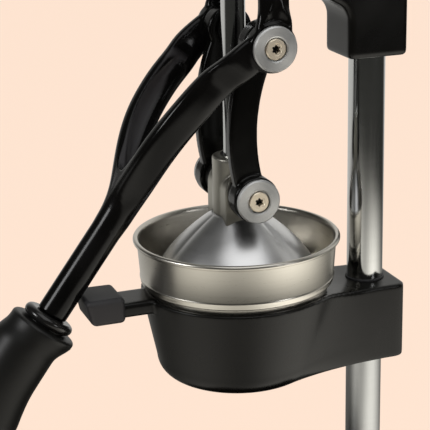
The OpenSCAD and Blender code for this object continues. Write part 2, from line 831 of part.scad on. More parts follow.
module rod_wiper() {
    color("#d0d0ce") on_axis() translate([0, 0, hub_top - 2.6]) difference() {
        cylinder(r = rod_d / 2 + 2, h = 3.4);
        translate([0, 0, -1]) cylinder(r = rod_d / 2 + seat_fit, h = 6);
    }
}

module press_hub() {
    low = bell_top - 2;
    color("#8e8b80") on_axis() difference() {
        union() {
            translate([0, 0, low]) cylinder(d = hub_d, h = hub_top - low);
            x_cyl(lug_r, -lug_half, lug_half, 0, lug_h);
            translate([-lug_half, -lug_r, bell_top - 8])
                cube([hub_w, 2 * lug_r, lug_h - bell_top + 8]);
        }
        translate([0, 0, lug_h - rod_seat - seat_fit])
            cylinder(d = rod_d + 2 * seat_fit, h = hub_top);
        translate([0, 0, hub_top - 2.65]) cylinder(r = rod_d / 2 + 2.05, h = 10);
        translate([0, 0, low - 1]) cylinder(r = bell_screw_r + seat_fit, h = lug_h - rod_seat - low);
        both_sides() x_cyl(pin_r + seat_fit, rod_d / 2 + 1.5, 60, 0, lug_h);
        translate([0, 0, hub_top - 9]) rotate([-90, 0, 0]) cylinder(r = 2.55, h = 30);
        bell_solid(seat_fit);
    }
}

module hub_screw() {
    color("#3a3a3c") on_axis() translate([0, rod_d / 2 + 6.5, hub_top - 9])
        rotate([90, 0, 0]) set_screw(2.5, 6.3);
}

// Radius of the bell's outside at a height below its top: a bulging cone
function bell_r(t) = let (r0 = hub_d / 2 + 0.5, r1 = bell_d / 2)
    r0 + (r1 - r0) * (1.52 * t - 0.52 * t * t);

// The bell as a solid, grown by a clearance
module bell_solid(grow = 0) {
    n = 16;
    translate([0, 0, bell_edge]) rotate_extrude() polygon(concat([[0, bell_h + grow]],
        [for (i = [0:n]) [bell_r(i / n) + grow, bell_h * (1 - i / n) + grow * (i < n ? 1 : 0)]],
        [[0, 0]]));
}

module press_bell() {
    n = 16;
    color("#c7c6c3") on_axis() translate([0, 0, bell_edge]) difference() {
        rotate_extrude() polygon(concat(
            [[bell_screw_r + 0.1, bell_h], [bell_r(0), bell_h]],
            [for (i = [1:n]) [bell_r(i / n), bell_h * (1 - i / n)]],
            [[bell_r(1) - bell_wall, 0]],
            [for (i = [n - 1:-1:1]) [bell_r(i / n) - bell_wall - 0.4, bell_h * (1 - i / n) - 0.6]],
            [[bell_r(0) - 1, bell_h - bell_wall - 1.2], [bell_screw_r + 0.1, bell_h - bell_wall - 1.2]]));
    }
}

module bell_washer() {
    color("silver") on_axis() translate([0, 0, bell_top - bell_wall - 1.2 - seat_fit - 1.5])
        difference() {
            cylinder(r = 9, h = 1.5);
            translate([0, 0, -1]) cylinder(r = bell_screw_r + 0.1, h = 4);
        }
}

module bell_screw() {
    top = bell_top - bell_wall - 1.2 - 2 * seat_fit - 1.5;
    head_t = 3;
    color("silver") on_axis() translate([0, 0, top - head_t]) difference() {
        union() {
            cylinder(r = 7, h = head_t);
            cylinder(r = bell_screw_r, h = lug_h - rod_seat - bell_nut_gap - top + head_t);
        }
        translate([0, 0, -1]) hex_hole(2.9, 3);
    }
}

module lug_pins() {
    color("#8f8f8f") on_axis() translate([0, 0, lug_h]) both_sides() difference() {
        x_cyl(pin_r, rod_d / 2 + 2, lug_disc_in - seat_fit);
        x_cyl(screw_r + seat_fit, lug_disc_in - 16, lug_disc_in + 2);
    }
}

module lug_spacers() {
    color("#2b2b2d") on_axis() translate([0, 0, lug_h]) both_sides() difference() {
        x_cyl(boss_r - 3, lug_half + seat_fit, link_in - side_gap);
        x_cyl(pin_r + seat_fit, lug_half - 1, link_in + 1);
    }
}

module lug_discs() {
    color("#a9aaa9") on_axis() translate([0, 0, lug_h]) both_sides() pivot_disc(lug_disc_in);
}

module lug_screws() {
    color("#c4b79c") on_axis() translate([0, 0, lug_h]) both_sides()
        pivot_screw(lug_disc_in, 14);
}

// ---- Links ----
// Outline of a link from its lower pivot, with the upper pivot straight above it
module link_outline() {
    sag = link_bow;
    r = (link_l * link_l / 4 + sag * sag) / (2 * sag);
    a = asin(link_l / 2 / r);
    c = [r - sag, link_l / 2];
    polygon(concat(arc(c, r + link_w / 2, 180 + a, 180 - a, 14),
        arc(c, r - link_w / 2, 180 - a, 180 + a, 14)));
}

// A link on the +X side, with its sleeve's bore at the knee and its bore at the hub
module link() {
    on_axis() translate([0, 0, lug_h]) rotate([-link_tilt, 0, 0]) difference() {
        union() {
            translate([link_in, 0, 0]) rotate([90, 0, 90])
                linear_extrude(height = link_t) link_outline();
            for (z = [0, link_l]) x_cyl(boss_r, link_in, link_out, 0, z);
        }
        x_cyl(pin_r + run_fit, link_in - 1, link_out + 1);
        x_cyl(pin_r + seat_fit, link_in - 1, link_out + 1, 0, link_l);
    }
}

// Lean of a closed link towards the column
link_tilt = asin(knee_y / link_l);

// The sleeve that closes a link's knee from inside
module knee_sleeve() {
    at_knee() {
        x_cyl(pin_r, link_in - 2, link_out);
        x_cyl(pin_r + 4, link_in - 3, link_in - seat_fit);
    }
}

module link_right() {
    color("#1a1a1c") link();
}

module link_left() {
    color("#1a1a1c") mirror([1, 0, 0]) link();
}

module knee_sleeve_right() {
    color("#2b2b2d") knee_sleeve();
}

module knee_sleeve_left() {
    color("#2b2b2d") mirror([1, 0, 0]) knee_sleeve();
}

base_plate();
base_feet();
foot_screws();
column();
column_plug();
column_bolt();
column_washer();
bowl_holder();
holder_screws();
stop_pad();
juice_bowl();
strainer_plate();
reamer_cone();
head_casting();
head_screws();
guide_bushes();
pivot_pins();
pivot_discs();
pivot_screws();
lever_casting();
pivot_bushes();
knee_pins();
knee_discs();
knee_screws();
grip_ring();
grip_washer();
grip();
guide_rod();
rod_cap();
rod_wiper();
press_hub();
hub_screw();
press_bell();
bell_washer();
bell_screw();
lug_pins();
lug_spacers();
lug_discs();
lug_screws();
link_right();
knee_sleeve_right();
link_left();
knee_sleeve_left();
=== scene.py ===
"""Looks of a lever-operated citrus press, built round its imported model.

Sizes are in millimetres in the classes below, and each mesh is scaled to metres when
its piece is finished. Finishes and the studio are in metres, as Object coordinates are.
X runs across the press, the lever opens towards -Y, and Z is up.
"""

import json
import logging
import math
from dataclasses import dataclass, field
from enum import Enum
from typing import Any, Optional, Sequence, Union

import bmesh
import bpy
from mathutils import Matrix, Vector

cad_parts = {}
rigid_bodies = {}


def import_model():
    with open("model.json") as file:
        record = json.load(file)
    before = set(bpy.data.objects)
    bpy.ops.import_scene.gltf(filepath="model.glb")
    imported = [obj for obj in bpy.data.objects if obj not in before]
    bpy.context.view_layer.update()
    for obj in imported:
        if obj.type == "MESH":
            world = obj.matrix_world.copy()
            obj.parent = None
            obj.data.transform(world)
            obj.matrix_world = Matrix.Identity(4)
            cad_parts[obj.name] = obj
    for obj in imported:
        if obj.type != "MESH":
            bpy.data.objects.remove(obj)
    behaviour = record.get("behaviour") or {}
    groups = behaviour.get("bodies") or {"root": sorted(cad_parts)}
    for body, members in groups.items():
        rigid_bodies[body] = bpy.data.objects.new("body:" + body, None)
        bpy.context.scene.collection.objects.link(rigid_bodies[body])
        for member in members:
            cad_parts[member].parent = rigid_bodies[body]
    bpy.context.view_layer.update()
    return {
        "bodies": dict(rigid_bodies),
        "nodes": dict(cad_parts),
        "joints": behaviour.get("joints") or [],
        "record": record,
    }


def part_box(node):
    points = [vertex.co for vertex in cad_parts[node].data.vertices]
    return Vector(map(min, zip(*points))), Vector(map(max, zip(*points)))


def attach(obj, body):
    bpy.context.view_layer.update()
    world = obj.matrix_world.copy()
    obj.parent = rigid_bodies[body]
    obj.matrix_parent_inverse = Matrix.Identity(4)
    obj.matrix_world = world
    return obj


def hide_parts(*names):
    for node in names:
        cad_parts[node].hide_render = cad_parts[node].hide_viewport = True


MM = 0.001
FULL_TURN = 2 * math.pi
QUARTER_TURN = math.pi / 2
log = logging.getLogger("citrus_press")

Point = tuple[float, float]
Profile = Sequence[Point]
Colour = tuple[float, float, float]
Place = tuple[float, float, float]
Term = Union["Value", float, Sequence[float]]


class Body(Enum):
    """Moving bodies of the press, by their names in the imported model."""

    FRAME = "frame"
    LEVER = "lever"
    PRESS = "press"
    LINK_RIGHT = "link_right"
    LINK_LEFT = "link_left"


class Slot(Enum):
    """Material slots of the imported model."""

    CASTING = "black_casting"
    RUBBER = "black_rubber"
    PLASTIC = "black_plastic"
    POLISHED = "polished_steel"
    STAINLESS = "satin_stainless"
    ALUMINIUM = "cast_aluminium"
    TURNED = "turned_steel"
    SCREW = "screw_steel"


class Axis(Enum):
    """Direction of the axis that a surface is turned or spun round."""

    X = "x"
    Z = "z"


# ---- Shader expressions ----
class Value:
    """A socket with arithmetic: each operator adds the Math node that it needs."""

    def __init__(self, shader: "Shader", socket: bpy.types.NodeSocket) -> None:
        """Wraps a socket of a shader."""
        self.shader = shader
        self.socket = socket

    def _math(self, operation: str, *terms: Term) -> "Value":
        """Result of one Math node, by Blender's name of its operation."""
        return self.shader.node("ShaderNodeMath", {"operation": operation}, *terms)

    def __add__(self, other: Term) -> "Value":
        """Sum."""
        return self._math("ADD", self, other)

    def __sub__(self, other: Term) -> "Value":
        """Difference."""
        return self._math("SUBTRACT", self, other)

    def __rsub__(self, other: Term) -> "Value":
        """Difference from a number."""
        return self._math("SUBTRACT", other, self)

    def __mul__(self, other: Term) -> "Value":
        """Product."""
        return self._math("MULTIPLY", self, other)

    def __truediv__(self, other: Term) -> "Value":
        """Quotient."""
        return self._math("DIVIDE", self, other)

    def __pow__(self, other: Term) -> "Value":
        """Power."""
        return self._math("POWER", self, other)

    __radd__ = __add__
    __rmul__ = __mul__

    def turn_from(self, across: "Value") -> "Value":
        """Angle of the point (across, self) about the origin."""
        return self._math("ARCTAN2", self, across)

    def cosine(self) -> "Value":
        """Cosine of an angle in radians."""
        return self._math("COSINE", self)

    def root(self) -> "Value":
        """Square root."""
        return self._math("SQRT", self)

    def clamped(self) -> "Value":
        """The value, kept between 0 and 1."""
        return self.shader.node("ShaderNodeClamp", {}, self, 0.0, 1.0)

    def ramp(self, start: Term, width: float) -> "Value":
        """0 before a start and 1 a width past it; a width below 0 runs backwards."""
        return ((self - start) / width).clamped()


class Shader:
    """Node tree of one material or of the world, built from expressions."""

    def __init__(self, name: str, world: bool = False) -> None:
        """Starts the tree.

        Args:
            name: Name of the material or the world.
            world: Whether it is the world's tree.
        """
        kinds = bpy.data.worlds if world else bpy.data.materials
        self.material = kinds.new(name)
        self.material.use_nodes = True
        self.tree = self.material.node_tree
        self.surface = self.tree.nodes["Background" if world else "Principled BSDF"]

    def node(self, kind: str, settings: dict[str, Any], *inputs: Term, out: int = 0,
             **named: Term) -> Value:
        """Adds a node, sets it up, and feeds its sockets.

        Args:
            kind: Blender's name of the node type.
            settings: Attributes that are set before the sockets.
            inputs: Values or numbers for the first sockets, in order.
            out: Index of the output that is wanted.
            named: Values or numbers by socket name, with _ for a space.

        Returns:
            The chosen output.
        """
        made = self.tree.nodes.new(kind)
        for key, setting in settings.items():
            setattr(made, key, setting)
        for index, term in enumerate(inputs):
            self.feed(made.inputs[index], term)
        for key, term in named.items():
            self.feed(made.inputs[key.replace("_", " ")], term)
        return Value(self, made.outputs[out])

    def feed(self, socket: bpy.types.NodeSocket, term: Term) -> None:
        """Links a value to a socket, or sets the socket.

        Args:
            socket: The socket.
            term: A value, or a number or colour.
        """
        if isinstance(term, Value):
            self.tree.links.new(term.socket, socket)
        else:
            socket.default_value = term

    def here(self) -> Value:
        """Object coordinates, in metres."""
        return self.node("ShaderNodeTexCoord", {}, out=3)

    def place(self, centre: Vector) -> tuple[Value, Value, Value]:
        """Object coordinates measured from a point.

        Args:
            centre: The point, in millimetres.

        Returns:
            The coordinates across, along and up, in metres.
        """
        moved = self.node("ShaderNodeMapping", {}, self.here(), Location=tuple(-centre * MM))
        parts = self.node("ShaderNodeSeparateXYZ", {}, moved)
        return tuple(Value(self, out) for out in parts.socket.node.outputs)

    def vector(self, *parts: Term) -> Value:
        """A vector of three values."""
        return self.node("ShaderNodeCombineXYZ", {}, *parts)

    def noise(self, place: Value, scale: float, detail: float = 2.0) -> Value:
        """Noise between 0 and 1, at a number of waves per unit of place."""
        return self.node("ShaderNodeTexNoise", {}, Vector=place, Scale=scale, Detail=detail)

    def mix(self, share: Term, first: Term, second: Term) -> Value:
        """Blends two colours.

        Args:
            share: Share of the second colour.
            first: A value, or a colour of three numbers.
            second: The same for the second.

        Returns:
            The blended colour.
        """
        made = self.node("ShaderNodeMix", {"data_type": "RGBA"}, share, out=2)
        for index, colour in ((6, first), (7, second)):
            solid = colour if isinstance(colour, Value) else (*colour, 1)
            self.feed(made.socket.node.inputs[index], solid)
        return made


# ---- Finishes ----
@dataclass(frozen=True)
class Finish:
    """A surface finish: two tones, and a fine relief between them.

    Each kind of finish says in pattern() where its tones lie and how its relief runs.
    """

    name: str
    colour: Colour
    tone: Colour
    metallic: float = 0.0
    smooth: float = 0.3
    rough: float = 0.4
    relief: float = 0.02
    strength: float = 0.5
    sheen: float = 0.5
    centre: Place = (0.0, 0.0, 0.0)

    def pattern(self, shader: Shader) -> tuple[Value, Value]:
        """Share of the second tone, and height of the relief, both 0 to 1."""
        raise NotImplementedError

    def material(self) -> bpy.types.Material:
        """Builds the material.

        Returns:
            The material, with its tones, roughness and relief wired.
        """
        shader = Shader(self.name)
        share, height = self.pattern(shader)
        for key, term in (
                ("Base Color", shader.mix(share, self.colour, self.tone)),
                ("Metallic", self.metallic),
                ("Roughness", share * (self.rough - self.smooth) + self.smooth),
                ("Specular IOR Level", self.sheen),
                ("Normal", shader.node("ShaderNodeBump", {}, Strength=self.strength,
                                       Distance=self.relief * MM, Height=height))):
            shader.feed(shader.surface.inputs[key], term)
        return shader.material


@dataclass(frozen=True)
class Enamel(Finish):
    """Satin enamel on a casting: a faint orange peel over slow waves of sheen."""

    peel: float = 900.0
    waves: float = 28.0
    contrast: float = 1.8
    swell: float = 0.6
    swell_size: float = 6.0

    def pattern(self, shader: Shader) -> tuple[Value, Value]:
        """Slow patches for the tone, and a fine peel for the relief.

        Args:
            shader: The tree that is built.

        Returns:
            Share of the second tone, and height of the relief.
        """
        here = shader.here()
        share = shader.noise(here, self.waves, 3.0) ** 2 * self.contrast
        height = shader.noise(here, self.peel, 1.0)
        swell = shader.noise(here, self.peel / self.swell_size, 2.0)
        return share.clamped(), height + swell * self.swell


@dataclass(frozen=True)
class Forked(Enamel):
    """Enamel of the lever, left rough in the hollows inside its fork, where a greyer tone is
    painted in for the sheen on them.

    The lengths are in metres. They follow one arm of the fork from the knee, where the
    finish has its centre, to the crotch, and the arm's own width and bow.
    """

    lean: float = 0.0
    half: float = 0.04
    reach: float = 0.13
    thin: float = 0.0044
    thick: float = 0.010
    crest: float = 0.058
    wave: float = 0.36
    bow: float = 0.0145
    width: float = 0.0112
    shift: float = 0.24
    spread: float = 0.6
    start: float = 0.03
    start_fade: float = 0.005
    skin: float = 0.0004
    skin_fade: float = 1 / 1200
    face: float = 0.001
    face_fade: float = 1 / 900
    rim_fade: float = 0.2
    glaze: float = 0.12
    # Share of the greyer tone painted into the hollows as sheen.
    grey: float = 0.7
    mottle: float = 0.5

    def pattern(self, shader: Shader) -> tuple[Value, Value]:
        """The enamel's own pattern, with the second tone painted into the fork's hollows as
        sheen.

        Args:
            shader: The tree that is built.

        Returns:
            Share of the second tone, and height of the relief.
        """
        share, height = super().pattern(shader)
        across, back, up = shader.place(Vector(self.centre))
        sine, cosine = math.sin(self.lean), math.cos(self.lean)
        reached = (back * sine + up * cosine) * -1
        rise = ((reached - self.crest) * (FULL_TURN / self.wave)).cosine() * self.bow
        beside = (up * sine - back * cosine - rise) / self.width
        part = (reached / self.reach).clamped()
        middle = (part ** 1.6 * QUARTER_TURN).cosine() * self.half
        depth = part ** 1.5 * (self.thick - self.thin) + (self.thin - self.skin)
        inwards = middle - (across * across).root()
        lens = ((beside - self.shift) / self.spread) ** 2
        hollow = inwards.ramp(depth, -self.skin_fade) * inwards.ramp(self.face, self.face_fade)
        hollow = hollow * reached.ramp(self.start, self.start_fade)
        hollow = hollow * lens.ramp(1.0, -self.rim_fade)
        # Painted sheen: the hollows take the greyer tone, standing in for the soft light that
        # they catch.
        tone = share * self.glaze + hollow * (share * self.mottle + self.grey)
        return tone.clamped(), height


@dataclass(frozen=True)
class Grain(Finish):
    """Moulded or blasted surface: an even fine grain with small specks."""

    grains: float = 2600.0
    blotch_size: float = 45.0
    blotch: float = 0.7

    def pattern(self, shader: Shader) -> tuple[Value, Value]:
        """Fine grain for the relief, and soft blotches for the tone.

        Args:
            shader: The tree that is built.

        Returns:
            Share of the second tone, and height of the relief.
        """
        here = shader.here()
        height = shader.noise(here, self.grains, 2.0)
        blotches = shader.noise(here, self.grains / self.blotch_size, 4.0)
        share = blotches * self.blotch + height * (1 - self.blotch)
        return share.clamped(), height


@dataclass(frozen=True)
class Spun(Finish):
    """Metal brushed or turned round an axis, with hair lines that follow the turning."""

    axis: Axis = Axis.Z
    lines: float = 5200.0
    drift: float = 0.004
    # bow: strength of a painted bow-tie highlight, light and dark sectors across the turning.
    bow: float = 0.0
    band_size: float = 12.0
    hair: float = 0.6
    band: float = 0.5
    floor: float = 0.05

    def pattern(self, shader: Shader) -> tuple[Value, Value]:
        """Hair lines round the axis, broken a little, over a painted bow-tie highlight of
        light and dark sectors.

        Args:
            shader: The tree that is built.

        Returns:
            Share of the second tone, and height of the relief.
        """
        across, along, up = shader.place(Vector(self.centre))
        if self.axis is Axis.X:
            across, along, up = along, up, across
        radius = (across * across + along * along).root()
        track = shader.vector(radius, up, along.turn_from(across) * self.drift)
        hairs = shader.noise(track, self.lines, 3.0)
        bands = shader.noise(track, self.lines / self.band_size, 2.0)
        # Painted highlight: a bow-tie of light and dark sectors, as turned metal shows under a
        # lamp.
        painted_bowtie = across * along / (radius * radius) * self.bow
        share = hairs * self.hair + bands * self.band - self.floor + painted_bowtie
        return share.clamped(), hairs


@dataclass(frozen=True)
class Drawn(Finish):
    """Ground bar or tube: fine streaks along its length, and duller towards its foot."""

    lines: float = 2400.0
    stretch: float = 0.012
    rings: float = 420.0
    ring_breaks: float = 0.05
    hair: float = 0.28
    ring: float = 0.16
    floor: float = 0.04
    dull: float = 0.6
    hair_relief: float = 0.5
    ring_relief: float = 0.7
    dull_below: float = 0.0
    dull_fade: float = 1 / 60

    def pattern(self, shader: Shader) -> tuple[Value, Value]:
        """Streaks along Z, with slow bands round the bar.

        Args:
            shader: The tree that is built.

        Returns:
            Share of the second tone, and height of the relief.
        """
        across, along, up = shader.place(Vector(self.centre))
        hairs = shader.noise(shader.vector(across, along, up * self.stretch), self.lines, 3.0)
        steps = shader.vector(across * self.ring_breaks, along * self.ring_breaks, up)
        rings = shader.noise(steps, self.rings, 3.0)
        low = up.ramp(self.dull_below, -self.dull_fade)
        share = hairs * self.hair + rings * self.ring - self.floor + low * self.dull
        return share.clamped(), hairs * self.hair_relief + rings * self.ring_relief


# ---- Meshes ----
def placed(name: str, data: Any) -> bpy.types.Object:
    """Puts a mesh, a lamp or a camera in the scene.

    Args:
        name: Name of its object.
        data: The mesh, lamp or camera.

    Returns:
        The object.
    """
    made = bpy.data.objects.new(name, data)
    bpy.context.scene.collection.objects.link(made)
    return made


class Shape:
    """A mesh in millimetres, shaped with the few operations that the press needs.

    The methods that shape it return it, so that they can be written in a row.
    """

    def __init__(self, bm: Optional[bmesh.types.BMesh] = None) -> None:
        """Starts from a bmesh, or empty."""
        self.bm = bmesh.new() if bm is None else bm

    @classmethod
    def lathe(cls, profile: Profile, steps: int = 96, closed: bool = False) -> "Shape":
        """Turns a profile of (radius, height) points round Z.

        Args:
            profile: The points, from one end to the other.
            steps: Number of faces round the turn.
            closed: Whether the last point joins the first, as on a ring or a tube.

        Returns:
            The turned shape, with its faces outwards.
        """
        shape = cls()
        points = [shape.bm.verts.new((r, 0, h)) for r, h in profile]
        pairs = list(zip(points, points[1:] + points[:1] if closed else points[1:]))
        edges = [shape.bm.edges.new(pair) for pair in pairs]
        bmesh.ops.spin(shape.bm, geom=points + edges, cent=(0, 0, 0), axis=(0, 0, 1),
                       angle=FULL_TURN, steps=steps, use_merge=True)
        return shape.cleaned()

    @classmethod
    def slab(cls, outline: Profile, low: float, high: float) -> "Shape":
        """Extrudes an outline of (x, y) points.

        Args:
            outline: The points, in order.
            low: Height of the slab's underside.
            high: Height of its top.

        Returns:
            The slab.
        """
        shape = cls()
        face = shape.bm.faces.new([shape.bm.verts.new((x, y, low)) for x, y in outline])
        made = bmesh.ops.extrude_face_region(shape.bm, geom=[face])["geom"]
        moved = [v for v in made if isinstance(v, bmesh.types.BMVert)]
        bmesh.ops.translate(shape.bm, verts=moved, vec=(0, 0, high - low))
        return shape.cleaned()

    @classmethod
    def side_view(cls, outline: Profile, low: float, high: float) -> "Shape":
        """Extrudes an outline of (y, z) points from one X to another."""
        upright = Matrix(((0, 0, 1, 0), (1, 0, 0, 0), (0, 1, 0, 0), (0, 0, 0, 1)))
        return cls.slab(outline, low, high).apply(upright)

    @classmethod
    def block(cls, size: Sequence[float], edge: float = 0.0, segments: int = 3) -> "Shape":
        """Makes a block round the origin.

        Args:
            size: Its size along X, Y and Z.
            edge: Width of its rounded edges, or 0 for sharp ones.
            segments: Number of faces round each edge.

        Returns:
            The block.
        """
        shape = cls()
        bmesh.ops.create_cube(shape.bm, size=1.0)
        bmesh.ops.scale(shape.bm, verts=shape.bm.verts, vec=size)
        return shape.bevelled(edge, segments) if edge else shape

    @classmethod
    def sweep(cls, sections: Sequence[Sequence[Vector]]) -> "Shape":
        """Draws a face through sections that all have the same number of points.

        Args:
            sections: The points of each section, from one end to the other.

        Returns:
            The closed sweep.
        """
        shape = cls()
        bm = shape.bm
        ring = [bm.verts.new(p) for p in sections[0]]
        edges = [bm.edges.new(pair) for pair in zip(ring, ring[1:] + ring[:1])]
        bm.faces.new(ring)
        for section in sections[1:]:
            made = bmesh.ops.extrude_edge_only(bm, edges=edges)["geom"]
            edges = [e for e in made if isinstance(e, bmesh.types.BMEdge)
                     and all(v in made for v in e.verts)]
            fresh = {v for v in made if isinstance(v, bmesh.types.BMVert)}
            ring = [next(v for e in old.link_edges for v in e.verts if v in fresh)
                    for old in ring]
            for vert, point in zip(ring, section):
                vert.co = point
        bm.faces.new(ring)
        return shape.cleaned()

    def cleaned(self) -> "Shape":
        """Merges doubles and turns every face outwards.

        Returns:
            The shape.
        """
        bmesh.ops.remove_doubles(self.bm, verts=self.bm.verts, dist=1e-3)
        bmesh.ops.dissolve_degenerate(self.bm, edges=self.bm.edges, dist=1e-4)
        bmesh.ops.recalc_face_normals(self.bm, faces=self.bm.faces)
        return self

    def apply(self, matrix: Matrix) -> "Shape":
        """Moves the shape by a matrix."""
        bmesh.ops.transform(self.bm, matrix=matrix, verts=self.bm.verts)
        return self

    def moved(self, x: float = 0.0, y: float = 0.0, z: float = 0.0) -> "Shape":
        """Moves the shape."""
        return self.apply(Matrix.Translation((x, y, z)))

    def tilted(self, degrees: float) -> "Shape":
        """Turns the shape about X."""
        return self.apply(Matrix.Rotation(math.radians(degrees), 4, "X"))

    def along_x(self) -> "Shape":
        """Turns a lathed shape from Z to X."""
        return self.apply(Matrix.Rotation(QUARTER_TURN, 4, "Y"))

    def rounded(self, edges: Sequence[bmesh.types.BMEdge], width: float, segments: int,
                clamped: bool = False) -> "Shape":
        """Rounds some edges.

        Args:
            edges: The edges.
            width: How far the rounding reaches from each edge.
            segments: Number of faces round each edge.
            clamped: Whether it stops short where two roundings would meet.

        Returns:
            The shape.
        """
        bmesh.ops.bevel(self.bm, geom=edges, offset=width, offset_type="OFFSET",
                        segments=segments, profile=0.5, affect="EDGES", material=-1,
                        clamp_overlap=clamped)
        return self

    def bevelled(self, width: float, segments: int = 3, angle: float = 30.0) -> "Shape":
        """Rounds the edges that turn by more than an angle.

        Args:
            width: How far the rounding reaches from each edge.
            segments: Number of faces round each edge.
            angle: The angle, in degrees.

        Returns:
            The shape.
        """
        limit = math.radians(angle)
        edges = [e for e in self.bm.edges if e.is_manifold and e.calc_face_angle() > limit]
        return self.rounded(edges, width, segments, clamped=True)

    def mirrored(self) -> "Shape":
        """Copies the shape to the other side of the middle plane.

        Returns:
            The copy, with its faces outwards.
        """
        twin = Shape(self.bm.copy()).apply(Matrix.Scale(-1, 4, (1, 0, 0)))
        bmesh.ops.reverse_faces(twin.bm, faces=twin.bm.faces)
        return twin

    def mesh(self, name: str) -> bpy.types.Mesh:
        """Writes the shape to a mesh.

        Args:
            name: Name of the mesh.

        Returns:
            The mesh.
        """
        made = bpy.data.meshes.new(name)
        self.bm.to_mesh(made)
        return made

    def add(self, *others: "Shape") -> "Shape":
        """Adds other shapes to this one as they are.

        Args:
            others: The shapes.

        Returns:
            This shape.
        """
        for other in others:
            held = other.mesh("held")
            self.bm.from_mesh(held)
            bpy.data.meshes.remove(held)
        return self

    def both_sides(self) -> "Shape":
        """Adds the mirrored copy."""
        return self.add(self.mirrored())

    def _through(self, *modifiers: tuple[str, dict[str, Any]]) -> "Shape":
        """Runs the shape through modifiers and keeps the result.

        Args:
            modifiers: Blender's type of each modifier, with its settings by name.

        Returns:
            The shape.
        """
        mesh = self.mesh("work")
        worker = placed("work", mesh)
        for kind, settings in modifiers:
            modifier = worker.modifiers.new(kind.lower(), kind)
            for key, setting in settings.items():
                setattr(modifier, key, setting)
        graph = bpy.context.evaluated_depsgraph_get()
        result = bpy.data.meshes.new_from_object(worker.evaluated_get(graph))
        self.bm.clear()
        self.bm.from_mesh(result)
        bpy.data.objects.remove(worker)
        bpy.data.meshes.remove(mesh)
        bpy.data.meshes.remove(result)
        return self

    def cut(self, *others: "Shape") -> "Shape":
        """Cuts other closed shapes away, one after the other.

        Args:
            others: The shapes.

        Returns:
            This shape.
        """
        for other in others:
            held = other.mesh("cutter")
            cutter = placed("cutter", held)
            self._through(("BOOLEAN", {"object": cutter, "solver": "EXACT"}))
            bpy.data.objects.remove(cutter)
            bpy.data.meshes.remove(held)
        return self

    def fused(self, voxel: float, passes: int = 0) -> "Shape":
        """Joins overlapping shells into one skin, and relaxes it as a casting's fillets.

        Args:
            voxel: Size of the new skin's faces.
            passes: Number of times that it is relaxed.

        Returns:
            The shape.
        """
        relax = [("SMOOTH", {"factor": 0.5, "iterations": passes})] if passes else []
        return self._through(("REMESH", {"mode": "VOXEL", "voxel_size": voxel}), *relax)


def spread(start: float, end: float, steps: int) -> list[float]:
    """Numbers at even steps from a start to an end, both included."""
    return [start + (end - start) * i / steps for i in range(steps + 1)]


def between(number: float, start: float, end: float) -> float:
    """Share of the way from a start to an end, kept between 0 and 1."""
    return min(1.0, max(0.0, (number - start) / (end - start)))


def eased(number: float, start: float, end: float) -> float:
    """Soft step, from 0 at a start to 1 at an end."""
    return (1 - math.cos(math.pi * between(number, start, end))) / 2


def arc(centre: Point, radius: float, start: float, end: float,
        steps: int = 8) -> list[Point]:
    """Draws an arc.

    Args:
        centre: Its centre.
        radius: Its radius.
        start: Angle of its first point, in degrees.
        end: Angle of its last point, in degrees.
        steps: Number of chords.

    Returns:
        The points, in order.
    """
    turns = [math.radians(turn) for turn in spread(start, end, steps)]
    return [(centre[0] + radius * math.cos(a), centre[1] + radius * math.sin(a))
            for a in turns]


def oblong(power: float, points: int = 56) -> list[Point]:
    """Draws a rounded oblong with half sides of 1, for the section of an arm.

    Args:
        power: 1 for a circle, and squarer towards 0.
        points: Number of points.

    Returns:
        The points.
    """
    turns = [(math.cos(turn), math.sin(turn)) for turn in spread(0, FULL_TURN, points)[:-1]]
    return [(math.copysign(abs(c) ** power, c), math.copysign(abs(s) ** power, s))
            for c, s in turns]


def bar(radius: float, length: float, edge: float = 0.6, hole: float = 0.0) -> Profile:
    """Profile of a round bar or tube from height 0, with chamfered ends."""
    return [(hole, 0), (radius - edge, 0), (radius, edge), (radius, length - edge),
            (radius - edge, length), (hole, length)]


def x_bar(radius: float, start: float, end: float, edge: float = 0.6,
          y: float = 0.0, z: float = 0.0) -> Shape:
    """A round bar along X, from one distance from the middle to another."""
    shape = Shape.lathe(bar(radius, end - start, edge), 72).along_x()
    return shape.moved(start, y, z)


# ---- The press ----
@dataclass(frozen=True)
class Layout:
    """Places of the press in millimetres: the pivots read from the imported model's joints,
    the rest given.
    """

    pivot: Vector
    lug: Vector
    crank: float = 78.4
    over_centre: float = 5.9
    column_y: float = 96.0
    column_bore: float = 12.56

    @classmethod
    def read(cls, frame: dict[str, Any]) -> "Layout":
        """Reads the pivots.


        Returns:
            The places.
        """
        at = {joint["name"]: joint.get("pos_m") for joint in frame["joints"]}
        lug = Vector(at["link_right_swing"]) / MM
        lug.x = 0
        return cls(pivot=Vector(at["lever_swing"]) / MM, lug=lug)

    @property
    def knee(self) -> Vector:
        """Middle of the knee, where the lever and the links meet."""
        lean = math.radians(self.over_centre)
        return self.pivot + self.crank * Vector((0, math.sin(lean), -math.cos(lean)))

    @property
    def axis(self) -> float:
        """Y of the press axis, from which column_y is measured."""
        return self.pivot.y


def node_box(node: str) -> tuple[Vector, Vector]:
    """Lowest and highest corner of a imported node, in millimetres."""
    low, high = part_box(node)
    return low / MM, high / MM


